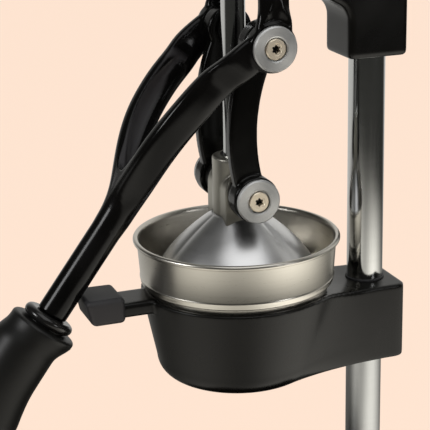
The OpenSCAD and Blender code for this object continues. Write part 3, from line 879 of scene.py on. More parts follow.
class Workshop:
    """Finishes shapes as pieces of the press, and keeps the materials."""

    def __init__(self, frame: dict[str, Any]) -> None:
        self.frame = frame
        self.materials: dict[str, bpy.types.Material] = {}

    def material(self, finish: Finish) -> bpy.types.Material:
        """Gives the material of a finish, made once.

        Args:
            finish: The finish.

        Returns:
            The material.
        """
        if finish.name not in self.materials:
            self.materials[finish.name] = finish.material()
        return self.materials[finish.name]

    def piece(self, name: str, shape: Shape, finish: Finish, body: Body, slot: Slot,
              *nodes: str, crease: float = 32.0) -> None:
        """Makes a shape a finished piece.

        Args:
            name: Name of the piece.
            shape: Its shape, in millimetres, where it stands.
            finish: Its finish.
            body: The body that it rides on.
            slot: A material slot of the imported model; not used.
            nodes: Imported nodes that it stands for.
            crease: Angle above which an edge is shown sharp, in degrees.
        """
        mesh = shape.apply(Matrix.Scale(MM, 4)).mesh(name)
        shape.bm.free()
        mesh.shade_smooth()
        mesh.set_sharp_from_angle(angle=math.radians(crease))
        mesh.materials.append(self.material(finish))
        made = placed(name, mesh)
        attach(made, body.value)
        if nodes:
            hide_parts(*nodes)
        log.info("%s: %d faces, rides on %s", name, len(mesh.polygons), body.value)

    def dress(self, finish: Finish, *nodes: str) -> None:
        """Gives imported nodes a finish.

        Args:
            finish: The finish.
            nodes: Names of the nodes.
        """
        for node in nodes:
            mesh = self.frame["nodes"][node].data
            mesh.materials.clear()
            mesh.materials.append(self.material(finish))
            log.info("%s: packed node, finished as %s", node, finish.name)


@dataclass(frozen=True)
class Palette:
    """The finishes of the press."""

    enamel: Finish = Enamel("satin_black_enamel", (0.0018, 0.0018, 0.0015),
                            (0.0042, 0.0041, 0.0036), smooth=0.23, rough=0.34,
                            relief=0.025, strength=0.25, sheen=0.25)
    lacquer: Finish = Enamel("glossy_black_lacquer", (0.0013, 0.0013, 0.0011),
                             (0.0030, 0.0030, 0.0026), smooth=0.17, rough=0.28,
                             relief=0.02, strength=0.2, sheen=0.24)
    rubber: Finish = Grain("black_rubber", (0.016, 0.016, 0.018), (0.028, 0.028, 0.031),
                           smooth=0.5, rough=0.66, relief=0.03, strength=0.4)
    handle: Finish = Grain("soft_black_grip", (0.003, 0.003, 0.0027), (0.007, 0.007, 0.0063),
                           smooth=0.36, rough=0.5, relief=0.03, strength=0.35, sheen=0.36,
                           grains=1700.0)
    gloss: Finish = Grain("glossy_black_ring", (0.006, 0.006, 0.006), (0.012, 0.012, 0.012),
                          smooth=0.14, rough=0.24, relief=0.01, strength=0.15)
    cast: Finish = Grain("blasted_aluminium", (0.32, 0.31, 0.27), (0.42, 0.405, 0.36),
                         metallic=1.0, smooth=0.34, rough=0.46, relief=0.03,
                         strength=0.5, grains=1500.0)
    screw: Finish = Grain("warm_screw_steel", (0.78, 0.69, 0.54), (0.94, 0.85, 0.7),
                          metallic=0.8, smooth=0.3, rough=0.42, relief=0.01,
                          strength=0.3, grains=3000.0)
    bronze: Finish = Grain("bronze", (0.5, 0.33, 0.14), (0.6, 0.42, 0.2), metallic=1.0,
                           smooth=0.3, rough=0.42, relief=0.01, strength=0.3)

    def lever(self, knee: Vector, lean: float, half: float, reach: float) -> Finish:
        """Glossy black outside, a rough casting between the fork's arms, with a greyer tone
        painted there as sheen.

        Args:
            knee: Middle of the knee.
            lean: Angle of the fork off the vertical, in degrees.
            half: Distance of an arm from the middle at the knee.
            reach: Distance from the knee to the fork's crotch.

        Returns:
            The finish.
        """
        # The second tone is mostly the painted sheen in the fork's hollows.
        return Forked("glossy_black_lever", (0.0013, 0.0013, 0.0011), (0.034, 0.033, 0.036),
                      smooth=0.16, rough=0.46, relief=0.02, strength=0.2, sheen=0.22,
                      centre=tuple(knee), lean=math.radians(lean), half=half * MM,
                      reach=reach * MM)

    def bowl(self, axis: float) -> Finish:
        """Satin sheet steel, brushed round the bowl."""
        return Spun("brushed_bowl_steel", (0.52, 0.495, 0.445), (0.64, 0.615, 0.56),
                    metallic=1.0, smooth=0.24, rough=0.34, relief=0.006, strength=0.5,
                    centre=(0, axis, 0))

    def bell(self, axis: float) -> Finish:
        """Polished sheet steel of the bell."""
        return Spun("polished_bell_steel", (0.66, 0.66, 0.66), (0.80, 0.80, 0.805),
                    metallic=1.0, smooth=0.28, rough=0.40, relief=0.004, strength=0.35,
                    lines=3600.0, centre=(0, axis, 0))

    def disc(self, name: str, centre: Vector) -> Finish:
        """Machined face with turning marks round a pivot, and a painted bow-tie highlight."""
        # bow sets the painted bow-tie highlight on the face.
        return Spun(f"turned_steel_{name}", (0.36, 0.37, 0.375), (0.68, 0.69, 0.685),
                    metallic=0.8, smooth=0.40, rough=0.50, relief=0.008, strength=0.6,
                    axis=Axis.X, lines=4200.0, bow=-0.7, centre=tuple(centre))

    def bar(self, name: str, y: float, dull_below: float = 0.0) -> Finish:
        """Ground and polished bar, duller below a height in metres."""
        return Drawn(f"polished_{name}", (0.57, 0.575, 0.57), (0.44, 0.45, 0.455),
                     metallic=1.0, smooth=0.07, rough=0.42, relief=0.004, strength=0.4,
                     dull_below=dull_below, centre=(0, y, 0))


@dataclass
class Part:
    """A sub-assembly of the press, with what all of them share."""

    shop: Workshop
    palette: Palette
    layout: Layout


@dataclass
class Base(Part):
    """Heavy base plate on rubber feet, with the boss that holds the column."""

    corner: float = 26.0
    edge: float = 6.0
    boss_d: float = 48.0
    boss_h: float = 8.0
    boss_root: float = 3.0
    boss_edge: float = 1.5
    boss_sunk: float = 4.0
    foot_r: float = 14.0
    foot_step: float = 1.6
    foot_lip: float = 1.0
    screw_r: float = 2.1
    recess_r: float = 5.0
    recess_h: float = 3.5
    recess_edge: float = 0.6

    def build(self) -> None:
        """Builds the plate and its feet, and finishes the hidden screws."""
        low, high = node_box("base_plate")
        size = high - low
        top = high.z - self.boss_h
        plate = Shape.block((size.x, size.y, top - low.z))
        uprights = [e for e in plate.bm.edges
                    if abs(e.verts[0].co.z - e.verts[1].co.z) > 1]
        plate.rounded(uprights, self.corner, 14)
        rim = [e for e in plate.bm.edges if all(v.co.z > 0 for v in e.verts)
               and e.calc_face_angle() > 1]
        plate.rounded(rim, self.edge, 6)
        plate.moved(0, (low.y + high.y) / 2, (low.z + top) / 2)
        plate.add(self.boss().moved(0, self.layout.axis + self.layout.column_y, top))
        self.shop.piece("base_plate_body", plate, self.palette.enamel, Body.FRAME,
                        Slot.CASTING, "base_plate")
        self.shop.piece("rubber_feet", self.feet(), self.palette.rubber, Body.FRAME,
                        Slot.RUBBER, "base_feet")
        self.shop.dress(self.palette.screw, "foot_screws", "column_washer", "column_bolt")

    def boss(self) -> Shape:
        """Draws the boss that the column stands in.

        Returns:
            The boss, with the top of the plate at height 0.
        """
        r, h, root, edge = self.boss_d / 2, self.boss_h, self.boss_root, self.boss_edge
        return Shape.lathe([(0, -self.boss_sunk), (r + root, -self.boss_sunk),
                            *arc((r + root, root), root, -90, -180, 5), (r, h - edge),
                            *arc((r - edge, h - edge), edge, 0, 90, 4), (0, h)])

    def feet(self) -> Shape:
        """Draws the four feet, each with a stepped edge and a recess for its screw.

        Returns:
            The feet.
        """
        low, high = node_box("base_feet")
        r, h, step, lip = self.foot_r, high.z, self.foot_step, self.foot_lip
        profile = [(self.screw_r, self.recess_h), (self.recess_r, self.recess_h),
                   (self.recess_r, self.recess_edge), (self.recess_r + self.recess_edge, 0),
                   (r - 1.5 * step, 0), *arc((r - step, step), step, -80, 0, 4),
                   (r - lip, h - 2 * lip), (r - step, h - step), (r - step, h),
                   (self.screw_r, h)]
        return Shape().add(*(Shape.lathe(profile, 48, True).moved(x, y, 0)
                             for x in (low.x + r, high.x - r)
                             for y in (low.y + r, high.y - r)))


@dataclass
class Column(Part):
    """Polished tube between the base, the bowl's holder and the head."""

    wall: float = 3.0
    edge: float = 0.8
    dull_below: float = 0.16

    def build(self) -> None:
        """Builds the tube."""
        low, high = node_box("column")
        r, y = (high.x - low.x) / 2, self.layout.axis + self.layout.column_y
        tube = Shape.lathe(bar(r, high.z - low.z, self.edge, r - self.wall), 128, True)
        self.shop.piece("column_tube", tube.moved(0, y, low.z),
                        self.palette.bar("column", y, self.dull_below), Body.FRAME,
                        Slot.POLISHED, "column")
        self.shop.dress(self.palette.screw, "column_plug")


@dataclass
class Holder(Part):
    """Cast cup that the bowl stands in, its block round the column, and its stop arm."""

    # Cup
    top_d: float = 132.0
    foot_d: float = 112.0
    height: float = 62.5
    edge: float = 14.0
    # Well that the bowl stands in
    mouth_d: float = 123.6
    floor_t: float = 5.0
    ledge: float = 4.0
    well_foot: float = 16.0
    well_side: float = 11.0
    well_h: float = 14.0
    well_rim: float = 5.0
    spout_bore: float = 12.6
    # Block round the column, with the dip in its top and the blends to the cup
    block_w: float = 54.5
    block_drop: float = 8.6
    block_back: float = 115.5
    block_edge: float = 1.5
    dip_near: float = 26.0
    dip_far: float = 84.0
    dip_half: float = 60.0
    corner: float = 7.0
    hollow_top: float = 92.0
    hollow_foot: float = 106.0
    rim_edge: float = 1.6
    # Stop arm and its pad
    arm_w: float = 28.0
    arm_h: float = 10.0
    arm_rise: float = 1.0
    arm_into: float = 10.0
    arm_edge: float = 2.2
    pad_cover: float = 9.0
    pad_slope: float = 4.0
    pad_taper: float = 0.93
    pad_edge: float = 3.6
    # Seal round the column
    seal_r: float = 12.6
    seal_t: float = 1.0
    seal_h: float = 1.3
    # How far cuts and bores reach past the casting
    past: float = 5.0
    bore_past: float = 20.0
    # Size of the skin's faces before and after the well is cut
    rough_skin: float = 1.2
    skin: float = 1.0
    passes: int = 5

    def plan(self, z: float) -> Profile:
        """Outline of the casting from above, at a height over its foot.

        Args:
            z: The height.

        Returns:
            The cup's front, the hollow blends and the block, as one closed outline.
        """
        r, draw = self.radius(z), self.rounding(self.block_edge, z)
        half, back, corner = self.block_w / 2 - draw, self.block_back - draw, self.corner
        end = self.hollow_foot + (self.hollow_top - self.hollow_foot) * z / self.height
        blend = (end * end - r * r + half * half) / (2 * (r - half))
        start = math.degrees(math.atan2(end, half + blend))
        right = [*arc((0, 0), r, -90, start, 44),
                 *arc((half + blend, end), blend, 180 + start * 0.96, 180, 26),
                 *arc((half - corner, back - corner), corner, 0, 90, 8), (0, back)]
        return [*right, *((-x, y) for x, y in reversed(right[1:-1]))]

    def radius(self, z: float) -> float:
        """Radius of the cup at a height over its foot."""
        foot, slope = self.foot_d / 2, between(z, self.edge, self.height)
        return foot - self.rounding(self.edge, z) + (self.top_d / 2 - foot) * slope

    @staticmethod
    def rounding(r: float, z: float) -> float:
        """How far a quarter-round at the foot draws in at a height."""
        return r - math.sqrt(r * r - (r - z) ** 2) if z < r else 0.0

    def body(self, low: float) -> Shape:
        """Draws cup and block as one wall, with the block's top dipping behind the cup.

        Args:
            low: Height of the casting's foot.

        Returns:
            The wall, filled.
        """
        heights = [self.edge * (1 - math.cos(turn)) for turn in spread(0, QUARTER_TURN, 10)]
        heights += spread(self.edge, self.height, 12)[1:]
        shape = Shape.sweep([[Vector((x, y, low + z)) for x, y in self.plan(z)]
                             for z in heights])
        top, back = low + self.height, self.block_back + self.past
        dip = [(y, top - self.block_drop * eased(y, self.dip_near, self.dip_far))
               for y in spread(self.dip_near, self.dip_far, 24)]
        above = Shape.side_view([(self.dip_near, top + self.past), *dip,
                                 (back, top - self.block_drop), (back, top + self.past)],
                                -self.dip_half, self.dip_half)
        return shape.cut(above).bevelled(self.rim_edge, 3, 50)

    def well(self, bottom: float, top: float) -> Shape:
        """Draws the hollow that the bowl stands in.

        Args:
            bottom: Height of the casting's foot.
            top: Height of its rim.

        Returns:
            The hollow, as a solid that is cut away.
        """
        mouth, ledge = self.mouth_d / 2, self.ledge
        return Shape.lathe([(0, bottom + self.floor_t),
                            (mouth - self.well_foot, bottom + self.floor_t),
                            (mouth - self.well_side, bottom + self.well_h),
                            (mouth - ledge, top - ledge - self.well_rim),
                            (mouth - ledge, top - ledge), (mouth, top - ledge),
                            (mouth, top + self.past), (0, top + self.past)], 128)

    def build(self) -> None:
        """Builds the casting, the pad and the column's seal."""
        pad_low, pad_high = node_box("stop_pad")
        bottom = node_box("bowl_holder")[0].z
        axis, column_y, past = self.layout.axis, self.layout.column_y, self.bore_past
        top = bottom + self.height
        front = pad_low.y - axis + self.pad_cover
        end = self.arm_into - self.top_d / 2
        arm = Shape.block((self.arm_w, end - front, self.arm_h), self.arm_edge, 4)
        arm.moved(0, (front + end) / 2, top + self.arm_rise - self.arm_h / 2)
        spout = Shape.lathe(bar(self.spout_bore, 2 * past), 64)
        bore = Shape.lathe(bar(self.layout.column_bore, self.height + 2 * past), 96)
        casting = self.body(bottom).add(arm).fused(self.rough_skin)
        casting.cut(self.well(bottom, top), spout.moved(0, 0, bottom - past))
        casting.fused(self.skin, self.passes)
        casting.cut(bore.moved(0, column_y, bottom - past)).moved(0, axis, 0)
        self.shop.piece("bowl_holder_casting", casting, self.palette.enamel, Body.FRAME,
                        Slot.CASTING, "bowl_holder", crease=50)
        self.shop.dress(self.palette.gloss, "holder_screws")
        self.shop.piece("stop_cap", self.pad(pad_low, pad_high), self.palette.rubber,
                        Body.FRAME, Slot.RUBBER, "stop_pad", crease=60)
        seal = self.seal().moved(0, axis + column_y, top - self.block_drop)
        self.shop.piece("column_seal", seal, self.palette.rubber, Body.FRAME, Slot.RUBBER)

    def pad(self, low: Vector, high: Vector) -> Shape:
        """Draws the rubber cap over the arm's end, its front sloping back to its foot.

        Args:
            low: Lowest corner of its box.
            high: Highest corner.

        Returns:
            The cap.
        """
        shape = Shape.block(high - low)
        for vert in shape.bm.verts:
            if vert.co.y < 0 and vert.co.z < 0:
                vert.co.y += self.pad_slope
            if vert.co.y > 0 and vert.co.z > 0:
                vert.co.x *= self.pad_taper
        return shape.bevelled(self.pad_edge, 6).moved(*((low + high) / 2))

    def seal(self) -> Shape:
        """Draws the thin rubber ring round the column, with its seat at height 0.

        Returns:
            The ring.
        """
        r, t, h, sunk, edge = self.seal_r, self.seal_t, self.seal_h, 0.2, 0.4
        return Shape.lathe([(r, -sunk), (r + t, -sunk), (r + t - 0.1, h - edge),
                            (r + 0.3, h), (r, h)], 96, True)


@dataclass
class Bowl(Part):
    """Spun juice bowl with its rolled rim and spout, the strainer and the reamer."""

    wall_d: float = 134.6
    taper: float = 3.4
    depth: float = 32.0
    step_d: float = 123.0
    step_h: float = 7.5
    sheet: float = 1.2
    bead: float = 3.6
    rim_d: float = 140.0
    hoop_h: float = 4.6
    hoop_half: float = 1.2
    shoulder: float = 2.2
    fillet: float = 0.6
    step_edge: float = 1.5
    inner_r: float = 1.8
    ledge: float = 6.0
    spout_r: float = 12.0
    spout_h: float = 38.0
    neck: float = 4.0
    flutes: int = 12
    flute_depth: float = 0.1
    flute_round: float = 0.7
    flute_fade: float = 3.0

    def build(self) -> None:
        """Builds the bowl and the reamer cone."""
        low, high = node_box("juice_bowl")
        finish = self.palette.bowl(self.layout.axis)
        self.shop.piece("juice_bowl_shell", self.shell(low.z, high.z), finish, Body.FRAME,
                        Slot.STAINLESS, "juice_bowl", crease=40)
        self.shop.dress(finish, "strainer_plate")
        self.shop.piece("reamer", self.reamer(), self.palette.cast, Body.FRAME,
                        Slot.ALUMINIUM, "reamer_cone", crease=60)

    def shell(self, end: float, rim: float) -> Shape:
        """Draws the outside and inside of the bowl, down to its spout.

        Args:
            end: Height of the spout's end.
            rim: Height of the rim.

        Returns:
            The bowl.
        """
        wall, foot, step_r = self.wall_d / 2, (self.wall_d - self.taper) / 2, self.step_d / 2
        spout, w, bead = self.spout_r, self.sheet, self.bead / 2
        step = rim - self.depth
        seat, funnel, hoop = step - self.step_h, end + self.spout_h, step + self.hoop_h
        under = rim - 2 * bead
        edge, small, large, inner = self.step_edge, self.fillet, self.shoulder, self.inner_r
        outside = [(spout - w, end), (spout, end), (spout, funnel - 3),
                   *arc((spout + self.neck, funnel - 3), self.neck, 180, 140, 4),
                   (step_r - self.ledge, seat), (step_r - edge, seat),
                   (step_r, seat + edge), (step_r, step - small),
                   *arc((step_r + small, step - small), small, 180, 90, 3),
                   *arc((foot - large, step + large), large, -90, 0, 7),
                   (foot + 0.05, hoop - self.hoop_half),
                   *arc((foot - 0.4, hoop), 0.9, -35, 35, 5),
                   (foot + 0.15, hoop + self.hoop_half), (wall, under - small),
                   *arc((self.rim_d / 2 - bead, rim - bead), bead, -75, 165, 16)]
        inside = [(wall - w - 0.3, rim - bead - 0.8), (wall - w, under - w),
                  (foot + 0.2 - w, step + 6),
                  *arc((foot - 3, step + w + inner), inner, 0, -90, 5),
                  (step_r - w, step + w), (step_r - w, seat + w),
                  (step_r - self.ledge - w, seat + w), (spout - w + 5, funnel + 2),
                  (spout - w, funnel - 4)]
        return Shape.lathe([*outside, *inside], 192, True).moved(0, self.layout.axis, 0)

    def reamer(self) -> Shape:
        """Draws the fluted cone, with rounded ribs that run to its tip.

        Returns:
            The cone.
        """
        low, high = node_box("reamer_cone")
        r, h = (high.x - low.x) / 2, high.z - low.z
        side = [(r * math.cos(turn), h * math.sin(turn))
                for turn in spread(0, QUARTER_TURN, 24)]
        cone = Shape.lathe([(0, 0), *side], self.flutes * 16)
        for vert in cone.bm.verts:
            turn = math.atan2(vert.co.y, vert.co.x)
            ridge = abs(math.cos(self.flutes * turn / 2)) ** self.flute_round
            shrink = 1 - self.flute_depth * (1 - ridge) * min(1.0, vert.co.z / self.flute_fade)
            vert.co.x *= shrink
            vert.co.y *= shrink
        return cone.moved(0, self.layout.axis, low.z)


@dataclass
class Pivot(Part):
    """A machined disc and its socket screw, on both sides of the press."""

    name: str
    body: Body
    centre: Vector
    inner: float
    radius: float = 14.5
    thick: float = 3.4
    back_edge: float = 0.5
    front_edge: float = 0.9
    recess: float = 7.5
    recess_h: float = 3.0
    hole: float = 3.1
    head: float = 6.7
    head_h: float = 2.9
    shank: float = 2.9
    shank_l: float = 6.0
    well: float = 4.0
    lobes: int = 6
    lobe: float = 0.45
    socket: float = 2.55
    socket_h: float = 5.0

    def build(self) -> None:
        """Builds the discs and the screws."""
        finish = self.palette.disc(self.name, self.centre)
        self.shop.piece(f"{self.name}_faces", self.seated(self.disc()), finish, self.body,
                        Slot.TURNED, f"{self.name}_discs", crease=25)
        self.shop.piece(f"{self.name}_sockets", self.seated(self.screw()),
                        self.palette.screw, self.body, Slot.SCREW, f"{self.name}_screws")
        self.shop.dress(self.palette.screw, f"{self.name}_pins")

    def seated(self, shape: Shape) -> Shape:
        """Puts a lathed shape on the pivot's axis, on both sides of the press."""
        return shape.along_x().moved(self.inner, self.centre.y, self.centre.z).both_sides()

    def disc(self) -> Shape:
        """Draws the chamfered disc, with a recess round its screw.

        Returns:
            The disc, lying on height 0.
        """
        r, t, floor = self.radius, self.thick, self.thick - self.recess_h
        back, front, recess = self.back_edge, self.front_edge, self.recess
        return Shape.lathe([(self.hole, 0), (r - back, 0), (r, back), (r, t - front),
                            (r - front, t), (recess + front, t), (recess, t - back),
                            (recess, floor), (self.hole, floor)], 96, True)

    def screw(self) -> Shape:
        """Draws the low head, with a six-lobed socket that runs down into the shank.

        Returns:
            The screw, in the disc's recess.
        """
        t, r, well = self.thick, self.head, self.well
        end, under, face = t - self.shank_l, t - self.head_h, t - 0.1
        head = Shape.lathe([(0, end), (self.shank, end), (self.shank, under),
                            (r - 0.3, under), (r, under + 0.3), (r, face - 0.6),
                            (r - 0.6, face), (well, face), (well - 0.2, face - 0.25),
                            (0, face - 0.25)], 72)
        outline = []
        for turn in spread(0, FULL_TURN, 48)[:-1]:
            reach = self.socket + self.lobe * math.cos(self.lobes * turn)
            outline.append((reach * math.cos(turn), reach * math.sin(turn)))
        return head.cut(Shape.slab(outline, t - self.socket_h, t + 1))


@dataclass
class Head(Part):
    """Cast head on top of the column: its nose guides the rod and carries the lever."""

    width: float = 39.5
    drop: float = 97.0
    front: float = 22.0
    back: float = 20.7
    back_r: float = 38.0
    back_drop: float = 34.0
    throat_r: float = 14.0
    throat_h: float = 25.0
    nose_half: float = 32.0
    nose_edge: float = 2.5
    nose_inset: float = 3.0
    crown: float = 24.0
    edge: float = 3.2
    boss_r: float = 16.5
    boss_half: float = 41.1
    boss_edge: float = 1.0
    guide_r: float = 10.05
    guide_l: float = 90.0
    bore_past: float = 1.0
    bore_stop: float = 3.0
    skin: float = 1.1
    passes: int = 5

    def side(self) -> Profile:
        """Draws the side view: block, arched back, and nose over the press axis.

        Returns:
            Its (y, z) points, with the press axis at 0.
        """
        pivot = self.layout.pivot.z
        low, top = pivot - self.drop, pivot + self.crown
        rear, near = self.layout.column_y + self.back, self.layout.column_y - self.front
        boss, nose = self.width / 2, self.nose_half - self.nose_inset
        return [(near, low), (rear, low),
                *arc((rear - self.back_r, top - self.back_drop), self.back_r, 0, 78, 14),
                (boss * 0.5, pivot + nose), (0, pivot + nose),
                (0, pivot - nose), (boss * 0.6, pivot - nose),
                *arc((near - self.throat_r, low + self.throat_h), self.throat_r, 70, 0, 8)]

    def build(self) -> None:
        """Builds the casting."""
        half, pivot = self.width / 2, self.layout.pivot.z
        block = Shape.side_view(self.side(), -half, half).bevelled(self.edge, 4, 40)
        nose = Shape.lathe(bar(half, 2 * self.nose_half, self.nose_edge), 96)
        nose.moved(0, 0, pivot - self.nose_half)
        boss = x_bar(self.boss_r, -self.boss_half, self.boss_half, self.boss_edge, 0, pivot)
        casting = block.add(nose, boss).fused(self.skin, self.passes)
        depth = self.drop + self.bore_past - self.bore_stop
        column = Shape.lathe(bar(self.layout.column_bore, depth), 96)
        column.moved(0, self.layout.column_y, pivot - self.drop - self.bore_past)
        guide = Shape.lathe(bar(self.guide_r, self.guide_l), 72)
        guide.moved(0, 0, pivot - self.guide_l / 2)
        casting.cut(column, guide).moved(0, self.layout.axis, 0)
        self.shop.piece("head_body", casting, self.palette.enamel, Body.FRAME,
                        Slot.CASTING, "head_casting", crease=50)
        self.shop.dress(self.palette.gloss, "head_screws")
        self.shop.dress(self.palette.bronze, "guide_bushes")


@dataclass
class Lever(Part):
    """Forked lever: two arms from the head to the knee, a bowed fork, and a round bar."""

    # Bosses at the pivot and the knee
    half_w: float = 50.0
    boss_t: float = 10.4
    boss_r: float = 16.0
    boss_edge: float = 0.8
    pivot_inset: float = 1.8
    # Upper arms, with the ridge that splits
    arm_w: float = 20.0
    upper_t: float = 6.3
    upper_inset: float = 1.9
    upper_bow: float = 5.2
    flare: float = 2.6
    flare_l: float = 18.0
    ridge: float = 1.7
    ridge_half: float = 0.4
    split: float = 0.9
    split_start: float = 34.0
    split_end: float = 16.0
    # Fork: crest and crotch are shares of its length
    fork_angle: float = 39.7
    fork_l: float = 140.0
    fork_bow: float = 14.5
    fork_w: float = 22.4
    fork_t: float = 4.4
    fork_half: float = 38.0
    crest: float = 0.443
    lift: float = 0.26
    fade_l: float = 6.0
    crotch_share: float = 0.957
    throat_back: float = 10.0
    tip_past: float = 20.0
    knee_l: float = 32.0
    merge: float = 6.0
    merge_in: float = 0.4
    # Hollows inside the fork, and the lip on its outer side
    dish: float = 2.8
    dish_start: float = 34.0
    dish_half: float = 0.52
    dish_rise: float = 0.34
    dish_lean: float = 0.1
    lip: float = 0.25
    lip_start: float = 0.92
    lip_fade: float = 0.1
    # Web in the crotch
    web_start: float = 118.0
    web_round: float = 12.0
    web_half: float = 13.0
    web_w: float = 0.49
    # Round bar
    bar_r: float = 10.3
    bar_l: float = 81.5
    bar_angle: float = 36.8
    tang_l: float = 100.0
    skin: float = 0.8
    passes: int = 6
    # Worked out from the sizes
    along: Vector = field(init=False)
    above: Vector = field(init=False)
    down: Vector = field(init=False)
    bar_start: Vector = field(init=False)
    crotch: float = field(init=False)
    tip: float = field(init=False)

    def __post_init__(self) -> None:
        """Works out the directions of the fork and the bar."""
        lean = math.radians(self.fork_angle)
        self.along = Vector((0, -math.sin(lean), -math.cos(lean)))
        self.above = Vector((0, -math.cos(lean), math.sin(lean)))
        lean = math.radians(self.bar_angle)
        self.down = Vector((0, -math.sin(lean), -math.cos(lean)))
        self.bar_start = self.layout.knee + self.fork_l * self.along
        self.crotch = self.crotch_share * self.fork_l
        self.tip = self.fork_l + self.tip_past

    def out(self, s: float) -> float:
        """How far the right arm stands out from the press's middle.

        Args:
            s: Distance from the knee along the fork.

        Returns:
            The distance, which closes softly past the crotch.
        """
        out = self.fork_half * math.cos(QUARTER_TURN * (s / self.crotch) ** 1.6)
        out = (out + math.hypot(out, self.merge)) / 2 - self.merge_in
        knee_out = self.half_w - self.boss_t / 2
        return out + (knee_out - self.fork_half) * math.exp(-(s / self.knee_l) ** 6)

    def rise(self, s: float) -> float:
        """Share of the fork's bow that is reached.

        Args:
            s: Distance from the knee along the fork.

        Returns:
            The share: 1 at the crest, and 0 where the bar begins.
        """
        crest, end = self.crest * self.fork_l, self.fork_l + self.fade_l
        if s < crest:
            climb = math.sin(QUARTER_TURN * (s / crest) ** 0.9)
            return self.lift + (1 - self.lift) * climb
        return math.cos(QUARTER_TURN * between(s, crest, end) ** 1.3) ** 1.8

    def middle(self, s: float, out: Optional[float] = None) -> Vector:
        """Middle of the right arm or of the throat.

        Args:
            s: Distance from the knee along the fork, and then along the bar.
            out: Distance out from the press's middle, or None for the arm's own.

        Returns:
            The point.
        """
        base = (self.layout.knee + s * self.along if s < self.fork_l
                else self.bar_start + (s - self.fork_l) * self.down)
        out = self.out(s) if out is None else out
        return base + self.fork_bow * self.rise(s) * self.above + Vector((out, 0, 0))

    def section(self, s: float, out: Optional[float] = None) -> list[Vector]:
        """Section of the right arm or of the throat, dished between its edges.

        Args:
            s: Distance from the knee along the fork, and then along the bar.
            out: Distance out from the press's middle, or None for the arm's own.

        Returns:
            The points of the section.
        """
        share = min(s / self.fork_l, 1)
        half_t = self.fork_t + (self.bar_r - self.fork_t) * share ** 1.5
        half_w = self.fork_w / 2
        if s > self.crotch:
            turn = QUARTER_TURN * (s - self.crotch) / (self.tip - self.crotch)
            half_w = self.bar_r + (half_w - self.bar_r) * math.cos(turn) ** 2
        lip, centre, ring = self.lip * (1 - share) ** 0.5, self.middle(s, out), []
        for side, w in oblong(1 / (2 - share * share)):
            x = half_t * side
            if out is None and side > 0:
                x -= lip * between(abs(w), self.lip_start, self.lip_start - self.lip_fade)
            elif out is None:
                x += self.hollow(s, w)
            ring.append(centre + Vector((x, 0, 0)) + half_w * w * self.above)
        return ring

    def web(self, x: float) -> list[Vector]:
        """Section of the web that rounds the fork's crotch.

        Args:
            x: Distance from the press's middle.

        Returns:
            The points of the section.
        """
        share = abs(x) / self.web_half
        edge = self.web_w * self.fork_w * self.above
        near = self.middle(self.web_start - self.web_round * share ** 2, x)
        far = self.middle(self.crotch - (self.crotch - self.web_start) * share, x)
        return [near - edge, near + edge, far + edge, far - edge]

    def hollow(self, s: float, w: float) -> float:
        """Depth of the lens-shaped hollow on an arm's inner side.

        Args:
            s: Distance from the knee along the fork.
            w: Place across the arm, from -1 to 1.

        Returns:
            The depth, which is 0 outside the hollow.
        """
        start, end = self.dish_start, self.web_start - 2
        along = (s - start) / (end - start)
        if not 0 < along < 1:
            return 0.0
        lens = math.sin(math.pi * along)
        across = (w - self.dish_rise + self.dish_lean * along) / (self.dish_half * lens ** 0.6)
        return self.dish * lens ** 0.5 * max(0.0, 1 - across * across)

    def upper_section(self, s: float) -> list[Vector]:
        """Section of the upper arm, with a ridge that splits in two before the knee.

        Args:
            s: Distance from the head's pivot.

        Returns:
            The points of the section.
        """
        left = self.layout.crank - s
        flare = self.flare * math.exp(-(left / self.flare_l) ** 4)
        half_w, half_t = self.arm_w / 2 + flare, self.upper_t / 2
        split = self.split * between(left, self.split_start, self.split_end) ** 1.3
        bow = self.upper_bow * math.sin(math.pi * s / self.layout.crank)
        ring = []
        for side, w in oblong(0.4):
            crest = max(0.0, 1 - abs(abs(w) - split) / self.ridge_half) if side > 0 else 0.0
            x = self.half_w - self.upper_inset - half_t + half_t * side + self.ridge * crest
            ring.append(Vector((x, bow + half_w * w, -s)))
        return ring

    def upper(self) -> Shape:
        """Draws the arm from the head's pivot to the knee.

        Returns:
            The arm, bowed a little and flared at the knee.
        """
        arm = Shape.sweep([self.upper_section(s) for s in spread(0, self.layout.crank, 40)])
        return arm.tilted(self.layout.over_centre).moved(*self.layout.pivot)

    def build(self) -> None:
        """Builds the casting, with its round bar, and finishes the pivot bushes."""
        knee, pivot, edge = self.layout.knee, self.layout.pivot, self.boss_edge
        inner = self.half_w - self.boss_t
        arm = Shape.sweep([self.section(s) for s in spread(2, self.fork_l + 14, 40)])
        arm.add(x_bar(self.boss_r, inner, self.half_w, edge, knee.y, knee.z),
                x_bar(self.boss_r, inner + self.pivot_inset, self.half_w, edge,
                      pivot.y, pivot.z), self.upper())
        throat_start = self.crotch - self.throat_back
        throat = [self.section(s, 0.0) for s in spread(throat_start, self.tip, 40)]
        web = [self.web(x) for x in spread(-self.web_half, self.web_half, 20)]
        round_bar = Shape.lathe(bar(self.bar_r, self.bar_l, edge), 72)
        round_bar.add(Shape.lathe(bar(self.bar_r - 3, self.bar_l + self.tang_l), 48))
        casting = arm.both_sides().add(Shape.sweep(web), Shape.sweep(throat),
                                       self.on_bar(round_bar, 0))
        casting.fused(self.skin, self.passes)
        finish = self.palette.lever(knee, self.fork_angle, self.fork_half, self.crotch)
        self.shop.piece("lever_body", casting, finish, Body.LEVER, Slot.CASTING,
                        "lever_casting", crease=60)
        self.shop.dress(self.palette.bronze, "pivot_bushes")

    def on_bar(self, shape: Shape, s: float) -> Shape:
        """Puts a shape on the bar's axis, a distance along it."""
        return shape.tilted(180 - self.bar_angle).moved(*(self.bar_start + s * self.down))


